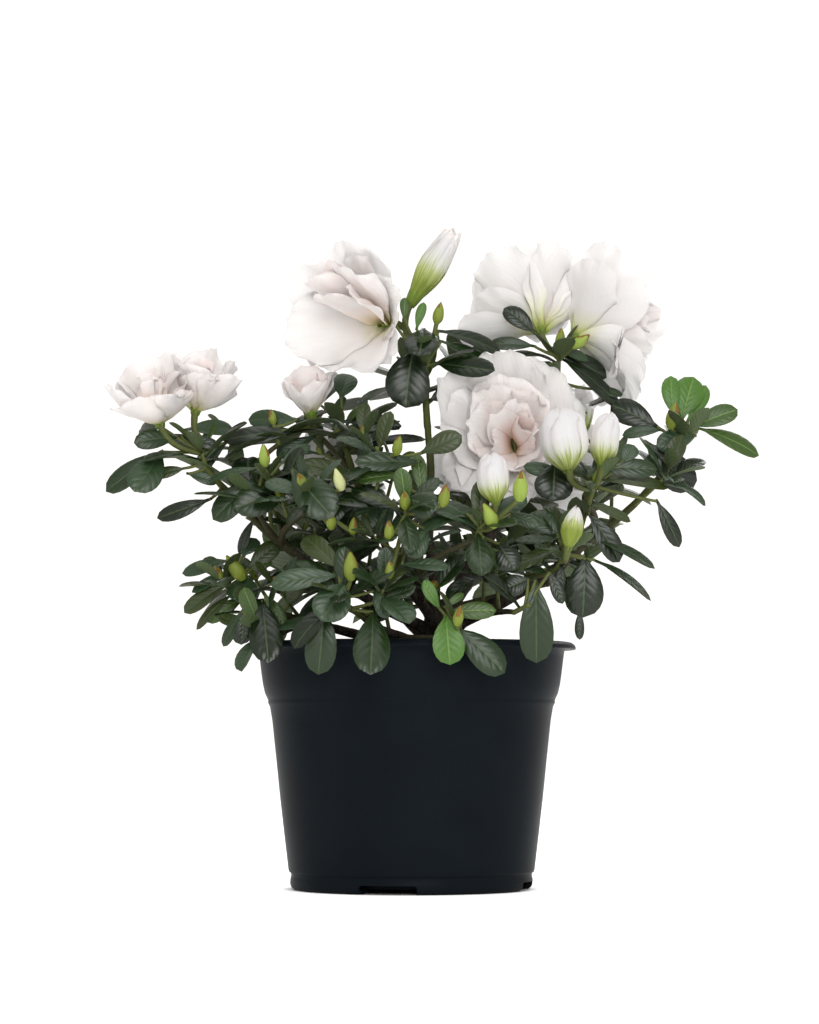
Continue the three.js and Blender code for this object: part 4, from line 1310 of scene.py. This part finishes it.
# Inner petals' foot: their own yellow-green, darkened to olive-brown as painted shade deep in the throat.
throat_tint_and_shade = add_node(tree, "ShaderNodeValToRGB", [("Fac", length.outputs["Y"])])
colour_stops(throat_tint_and_shade, (0.08, "#a8924c"), (0.22, "#dcc7a0"), (0.38, "#f6e9d8"), (0.62, "#ffffff"))
foot = add_node(
    tree, "ShaderNodeMix",
    [("Factor", flush.outputs["Fac"]), (6, outside.outputs[0]), (7, throat_tint_and_shade.outputs[0])], data_type="RGBA",
)
tinted = add_node(
    tree, "ShaderNodeMix", [(6, pink.outputs[2]), (7, foot.outputs[2])], data_type="RGBA",
    blend_type="MULTIPLY", in_Factor=1.0,
)
tree.links.new(tinted.outputs[2], shader.inputs["Base Color"])
veined = add_node(tree, "ShaderNodeMapping", [("Vector", place.outputs["UV"])], in_Scale=(30, 3, 1))
crepe = add_node(tree, "ShaderNodeTexNoise", [("Vector", veined.outputs[0])], in_Scale=1.0, in_Detail=3.0)
relief = add_node(
    tree, "ShaderNodeBump", [("Height", crepe.outputs["Fac"])], in_Strength=0.4, in_Distance=0.6 * MM,
)
tree.links.new(relief.outputs[0], shader.inputs["Normal"])

flowers = {}
for number, (name, faces_to) in enumerate({**SHOWN_FACING, **EVEN_FLOWERS}.items()):
    dice = random.Random(60 + number)
    axis = heading(*faces_to)
    calyx, radius, depth = measured_from(name, axis)
    axis = heading(*TURNED_ON_ITS_STALK.get(name, faces_to))
    flowers[name] = (calyx, axis)
    heap = Gathered()
    for right, ahead, rise, half_width, cup, bowl, flushed in SHOWN_PETALS_MM.get(name, ()):
        tip = calyx + np.array((right, -ahead, rise)) * MM
        add_petal(heap, calyx, axis, depth, tip, half_width * MM, cup, bowl, flushed, dice)
    turn = dice.uniform(0, 6.28)
    for count, out, up, wide, cup, bowl, flushed in RINGS if name in EVEN_FLOWERS else ():
        turn += math.pi / count * 1.05
        for i in range(count):
            away = around(axis, UP, turn + 2 * math.pi * i / count + dice.uniform(-0.12, 0.12))
            tip = calyx + away * radius * out * dice.uniform(0.9, 1.02)
            tip += axis * depth * up * dice.uniform(0.9, 1.0)
            half_width = radius * wide * dice.uniform(0.9, 1.1)
            add_petal(heap, calyx, axis, depth, tip, half_width, cup, bowl, flushed, dice)
    piece = new_object("petals_of_" + name, heap.mesh("petals_of_" + name, [petal_skin]))
    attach(piece, "root")
    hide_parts(name)


# ---------------------------------------------------------------- flower buds
# Buds about to open: five petals rolled round each other into a plump blunt egg, white at the top and still
# green where they sit in the calyx. The youngest are slimmer, pointed and half green.
BUD_PETALS = 5
BUD_WRAP, SCALE_WRAP, END_SCALE_WRAP = 2.7, 2.4, 2.6
SCALES, END_SCALES = 5, 4
SEPALS = 5
SKIN_THICK = 0.2 * MM
# A bud's or leaf bud's sheet: its rows, how many faces across, and its faces and rim.
BUD_SHEET = (16, 14, *grid_faces(16, 14))
SCALE_SHEET = (7, 6, *grid_faces(7, 6))
STALK_REACH_MM = 34
FLOWER_STALK_STEPS, FLOWER_STALK_SIDES = 14, 10
BUD_STALK_STEPS, BUD_STALK_SIDES = 10, 8
# The materials of the calyxes and leaf buds, by slot.
SEPAL, SHOOT, SCALE, FRESH_SCALE, BROWN, CREAM = range(6)
# The mark of scales whose tips have browned, and from which share of its faces each one is brown.
BROWN_TIPPED = -1
BROWN_FROM = (1, 0.7, 0.86, 0.5)
# Outlines: the girth from foot to tip.
PLUMP = (0.26, 0.62, 0.86, 0.97, 1.0, 1.0, 0.98, 0.94, 0.84, 0.62, 0.12)
OPENING = (0.3, 0.52, 0.7, 0.86, 0.97, 1.0, 0.96, 0.88, 0.8, 0.72, 0.56)
SLIM = (0.3, 0.55, 0.78, 0.94, 1.0, 0.98, 0.9, 0.77, 0.6, 0.4, 0.08)
POINTED = (0.5, 0.84, 0.98, 1.0, 0.95, 0.85, 0.7, 0.52, 0.3, 0.08)
BUDS = {
    # which way it faces, outline, shares of its solid's radius and height, how green, and seed
    "bud_tall": ((-12, 31), OPENING, 0.82, 0.94, 0.52, 21),
    "bud_pair_left": ((150, 8), PLUMP, 1.02, 0.87, 0.24, 22),
    "bud_pair_right": ((20, 8), PLUMP, 0.95, 0.86, 0.34, 23),
    "bud_front": ((170, 5), PLUMP, 0.95, 0.93, 0.32, 24),
    "bud_low_right": ((10, 12), SLIM, 0.9, 0.98, 0.66, 25),
    "bud_back": ((50, 20), PLUMP, 1.0, 1.0, 0.45, 26),
}


def rolled_petals(heap, at, axis, radius, height, count, wrap, outline, sheet, slot, mark, dice):
    """Petals or scales rolled round each other. Each one's first edge is tucked under the one before it."""
    rows, columns, faces, rim = sheet
    v = np.linspace(0, 1, rows + 1)[:, None]
    c = np.linspace(0, 1, columns + 1)[None, :]
    start = dice.uniform(0, 6.28)
    first = around(axis, UP + np.array((0.01, 0.02, 0)), start)
    second = np.cross(axis, first)
    girth = np.interp(v, np.linspace(0, 1, len(outline)), outline)
    for i in range(count):
        brown_from = BROWN_FROM[i % len(BROWN_FROM)] if mark == BROWN_TIPPED else 1
        slots = [slot if number < len(faces) * brown_from else BROWN for number in range(len(faces))]
        top = 1 - 0.07 * dice.random() - 0.13 * (2 * np.abs(c - 0.5)) ** 2.4
        top += 0.018 * np.sin(19 * c + i * 2.1)
        s = v**0.85 * top
        out = radius * girth * (0.8 + 0.2 * c**0.7)
        creases = 0.022 * np.sin(27 * c + 4 * s) + 0.012 * np.sin(47 * c - 3 * s)
        crease = radius * creases * np.sqrt(np.maximum(np.sin(math.pi * s), 0))
        frill = 0.12 * radius * np.clip((s - 0.8) / 0.2, 0, 1) ** 2 * np.sin(9 * c + i * 1.7 + start)
        out = np.maximum(out + crease + frill, SKIN_THICK)
        angle = -(i * 2 * math.pi / count + wrap * (c - 0.5) + 0.4 * s)
        grid = at + (out * np.cos(angle))[..., None] * first + (out * np.sin(angle))[..., None] * second
        grid = grid + (height * s)[..., None] * axis
        heap.add(thin_shell(grid, SKIN_THICK), faces, slots, shell_uvs(c, s), rim, mark)


# A bud's petals are thicker and waxier than open ones, and green climbs from the foot in streaks.
bud_skin, tree, shader = new_skin("white_azalea_bud")
set_sockets(shader, Roughness=0.5, Specular_IOR_Level=0.3)
set_sockets(shader, Subsurface_Weight=0.5, Subsurface_Radius=(0.0026, 0.0022, 0.0018), Subsurface_Scale=1.0)
place = add_node(tree, "ShaderNodeTexCoord")
length = add_node(tree, "ShaderNodeSeparateXYZ", [("Vector", place.outputs["UV"])])
ribs = add_node(tree, "ShaderNodeMapping", [("Vector", place.outputs["UV"])], in_Scale=(26, 2.2, 1))
streaks = add_node(tree, "ShaderNodeTexNoise", [("Vector", ribs.outputs[0])], in_Scale=1.0, in_Detail=2.0)
greenness = add_node(tree, "ShaderNodeAttribute", attribute_name="blush")
jagged = add_node(tree, "ShaderNodeMath", [(0, streaks.outputs["Fac"])], operation="MULTIPLY", in_1=0.5)
climbed = add_node(
    tree, "ShaderNodeMath", [(0, length.outputs["Y"]), (1, jagged.outputs[0])], operation="ADD",
)
share = add_node(
    tree, "ShaderNodeMath", [(0, climbed.outputs[0]), (1, greenness.outputs["Fac"])], operation="SUBTRACT",
)
tint = add_node(tree, "ShaderNodeValToRGB", [("Fac", share.outputs[0])])
colour_stops(tint, (0.0, "#869738"), (0.16, "#bcc676"), (0.3, "#f1eeda"), (0.5, "#fdf6f2"))
tree.links.new(tint.outputs[0], shader.inputs["Base Color"])
relief = add_node(
    tree, "ShaderNodeBump", [("Height", streaks.outputs["Fac"])], in_Strength=0.4, in_Distance=0.5 * MM,
)
tree.links.new(relief.outputs[0], shader.inputs["Normal"])


def plain_skin(name, colour, roughness):
    """A small plant part of one colour with a fine grain in its relief."""
    made, tree, shader = new_skin(name)
    set_sockets(shader, Base_Color=linear(colour), Roughness=roughness, Specular_IOR_Level=0.3)
    place = add_node(tree, "ShaderNodeTexCoord")
    fine = add_node(tree, "ShaderNodeTexNoise", [("Vector", place.outputs["Object"])], in_Scale=1200.0)
    relief = add_node(
        tree, "ShaderNodeBump", [("Height", fine.outputs["Fac"])], in_Strength=0.4, in_Distance=0.4 * MM,
    )
    tree.links.new(relief.outputs[0], shader.inputs["Normal"])
    return made


# A calyx's green sepals, and the scales of leaf buds: dull green, fresh, browned by the sun, or nearly cream.
calyx_skins = [
    plain_skin("green_calyx", "#6a8430", 0.5),
    shoot_skin,
    plain_skin("leaf_bud_scale", "#7b8a34", 0.45),
    plain_skin("fresh_bud_scale", "#93a94a", 0.45),
    plain_skin("brown_bud_scale", "#7d5c2c", 0.6),
    plain_skin("cream_bud_petal", "#c6cb92", 0.5),
]
calyxes = Gathered()


def calyx_and_stalk(calyx, axis, size, dice):
    """Five small sepals under a flower or bud, and its stalk from the nearest whorl or limb."""
    for i in range(SEPALS):
        out = around(axis, UP + 0.01, i * math.pi * 2 / SEPALS + dice.uniform(-0.2, 0.2))
        aim = unit(axis + out * 0.35)
        at = calyx - axis * MM + out * size * 0.12
        points, uvs = leaf_points(at, aim, axis - out, size, size * 0.42, -0.3, 0.3, 0, 0, 0.1)
        calyxes.add(points, LEAF_FACES, SEPAL, uvs, LEAF_MARGIN)
    lower = [at for at in whorl_at.values() if at[2] < calyx[2] + 1.5 * MM]
    root = min(lower, key=lambda at: np.linalg.norm(calyx - at), default=None)
    if root is None or np.linalg.norm(calyx - root) > STALK_REACH_MM * MM:
        path, step = fork_for(calyx, limbs.values())
        root = path[step]
    knee = calyx - axis * np.linalg.norm(calyx - root) * 0.5
    path = bend_through(root - UP * MM, knee, calyx + axis * MM, FLOWER_STALK_STEPS)
    radii = np.linspace(1.0, 1.5, FLOWER_STALK_STEPS) * MM
    points, faces, uvs = tube(path, radii, FLOWER_STALK_SIDES)
    calyxes.add(points, faces, SHOOT, uvs)


for name, (faces_to, outline, stout, tall, green_share, seed) in BUDS.items():
    dice = random.Random(seed)
    axis = heading(*faces_to)
    calyx, radius, depth = measured_from(name, axis)
    axis = heading(*TURNED_ON_ITS_STALK.get(name, faces_to))
    heap = Gathered()
    rolled_petals(
        heap, calyx, axis, radius * stout, depth * tall, BUD_PETALS, BUD_WRAP, outline, BUD_SHEET, 0,
        green_share, dice,
    )
    if outline is OPENING:
        rolled_petals(
            heap, calyx, axis, radius * 0.64, depth * 0.93, BUD_PETALS, BUD_WRAP, PLUMP, BUD_SHEET, 0,
            green_share, dice,
        )
    piece = new_object("petals_of_" + name, heap.mesh("petals_of_" + name, [bud_skin]))
    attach(piece, "root")
    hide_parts(name)
    calyx_and_stalk(calyx, axis, depth * 0.28, dice)
for number, (calyx, axis) in enumerate(flowers.values()):
    calyx_and_stalk(calyx, axis, 8 * MM, random.Random(50 + number))

# Closed leaf buds, tight pointed cones of scales, stand in the middle of most whorls. Those that show best
# from the front: the whorl, how far right of its tip and above it, the clock direction, height and material.
SHOWN_LEAF_BUDS = (
    ("leaves_left_shoulder", 5, 9, 95, 9, FRESH_SCALE),
    ("leaves_front_middle", 9, 0, 80, 9, SCALE),
    ("leaves_left_low", 8, -2, 127, 12, SCALE),
    ("leaves_front_left", 2, 3, 93, 11.5, SCALE),
    ("leaves_left_front", 4, -14, 95, 8, SCALE),
    ("leaves_left_front", 12, -16, 85, 7, SCALE),
    ("leaves_front_middle", -11, -13, 92, 8, SCALE),
    ("leaves_front_middle", -11, -27, 90, 7, SCALE),
    ("leaves_right_tip", -9, 1, 78, 11, SCALE),
    ("leaves_middle", 5, -2, 80, 8, SCALE),
    ("leaves_crest", 6, 15, 78, 9, SCALE),
    ("leaves_left_front", 8, 1, 108, 9, CREAM),
    ("leaves_front_right", 10, 11, 86, 12, FRESH_SCALE),
    ("leaves_front_right", 1, 1, 118, 11, FRESH_SCALE),
    ("leaves_upper_right", 3, 3, 85, 8, SCALE),
    ("leaves_upper_right", 8, 3, 35, 9, FRESH_SCALE),
    ("leaves_over_rim", -2, -2, 80, 8, SCALE),
)
dice = random.Random(9)
for whorl_name, right, rise, clock, tall, tone in SHOWN_LEAF_BUDS:
    turn = math.radians(clock)
    tip_right, tip_up = WHORL_LEANS_MM.get(whorl_name, (0, 0))
    at = whorl_at[whorl_name] + np.array((right - tip_right, -5, rise - tip_up)) * MM
    axis = unit(np.array((math.cos(turn), -0.25, math.sin(turn))))
    rolled_petals(
        calyxes, at, axis, tall * 0.24 * MM, tall * MM, SCALES, SCALE_WRAP, POINTED, SCALE_SHEET, tone,
        BROWN_TIPPED, dice,
    )
    root = whorl_at[whorl_name] - facing[whorl_name] * 2 * MM
    path = bend_through(root, (root + at) / 2 - axis * 1.5 * MM, at + axis * MM, BUD_STALK_STEPS)
    radii = np.linspace(0.8, 0.95, BUD_STALK_STEPS) * MM
    points, faces, uvs = tube(path, radii, BUD_STALK_SIDES)
    calyxes.add(points, faces, SHOOT, uvs)
shoot_ends = [(whorl_at[name] + facing[name] * 2 * MM, unit(facing[name] + UP * 0.4)) for name in FACES]
shoot_ends += [(shoot["tip"], shoot["aim"]) for shoot in side_shoots]
for at, axis in shoot_ends:
    if dice.random() < 0.5 or in_an_opening(at, 4):
        continue
    tall = dice.uniform(5.5, 9)
    tone = BROWN if dice.random() < 0.12 else SCALE
    rolled_petals(
        calyxes, at - axis * MM, axis, tall * 0.25 * MM, tall * MM, END_SCALES, END_SCALE_WRAP, POINTED,
        SCALE_SHEET, tone, BROWN_TIPPED, dice,
    )
calyx_piece = new_object("calyxes_and_leaf_buds", calyxes.mesh("calyxes", calyx_skins))
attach(calyx_piece, "root")
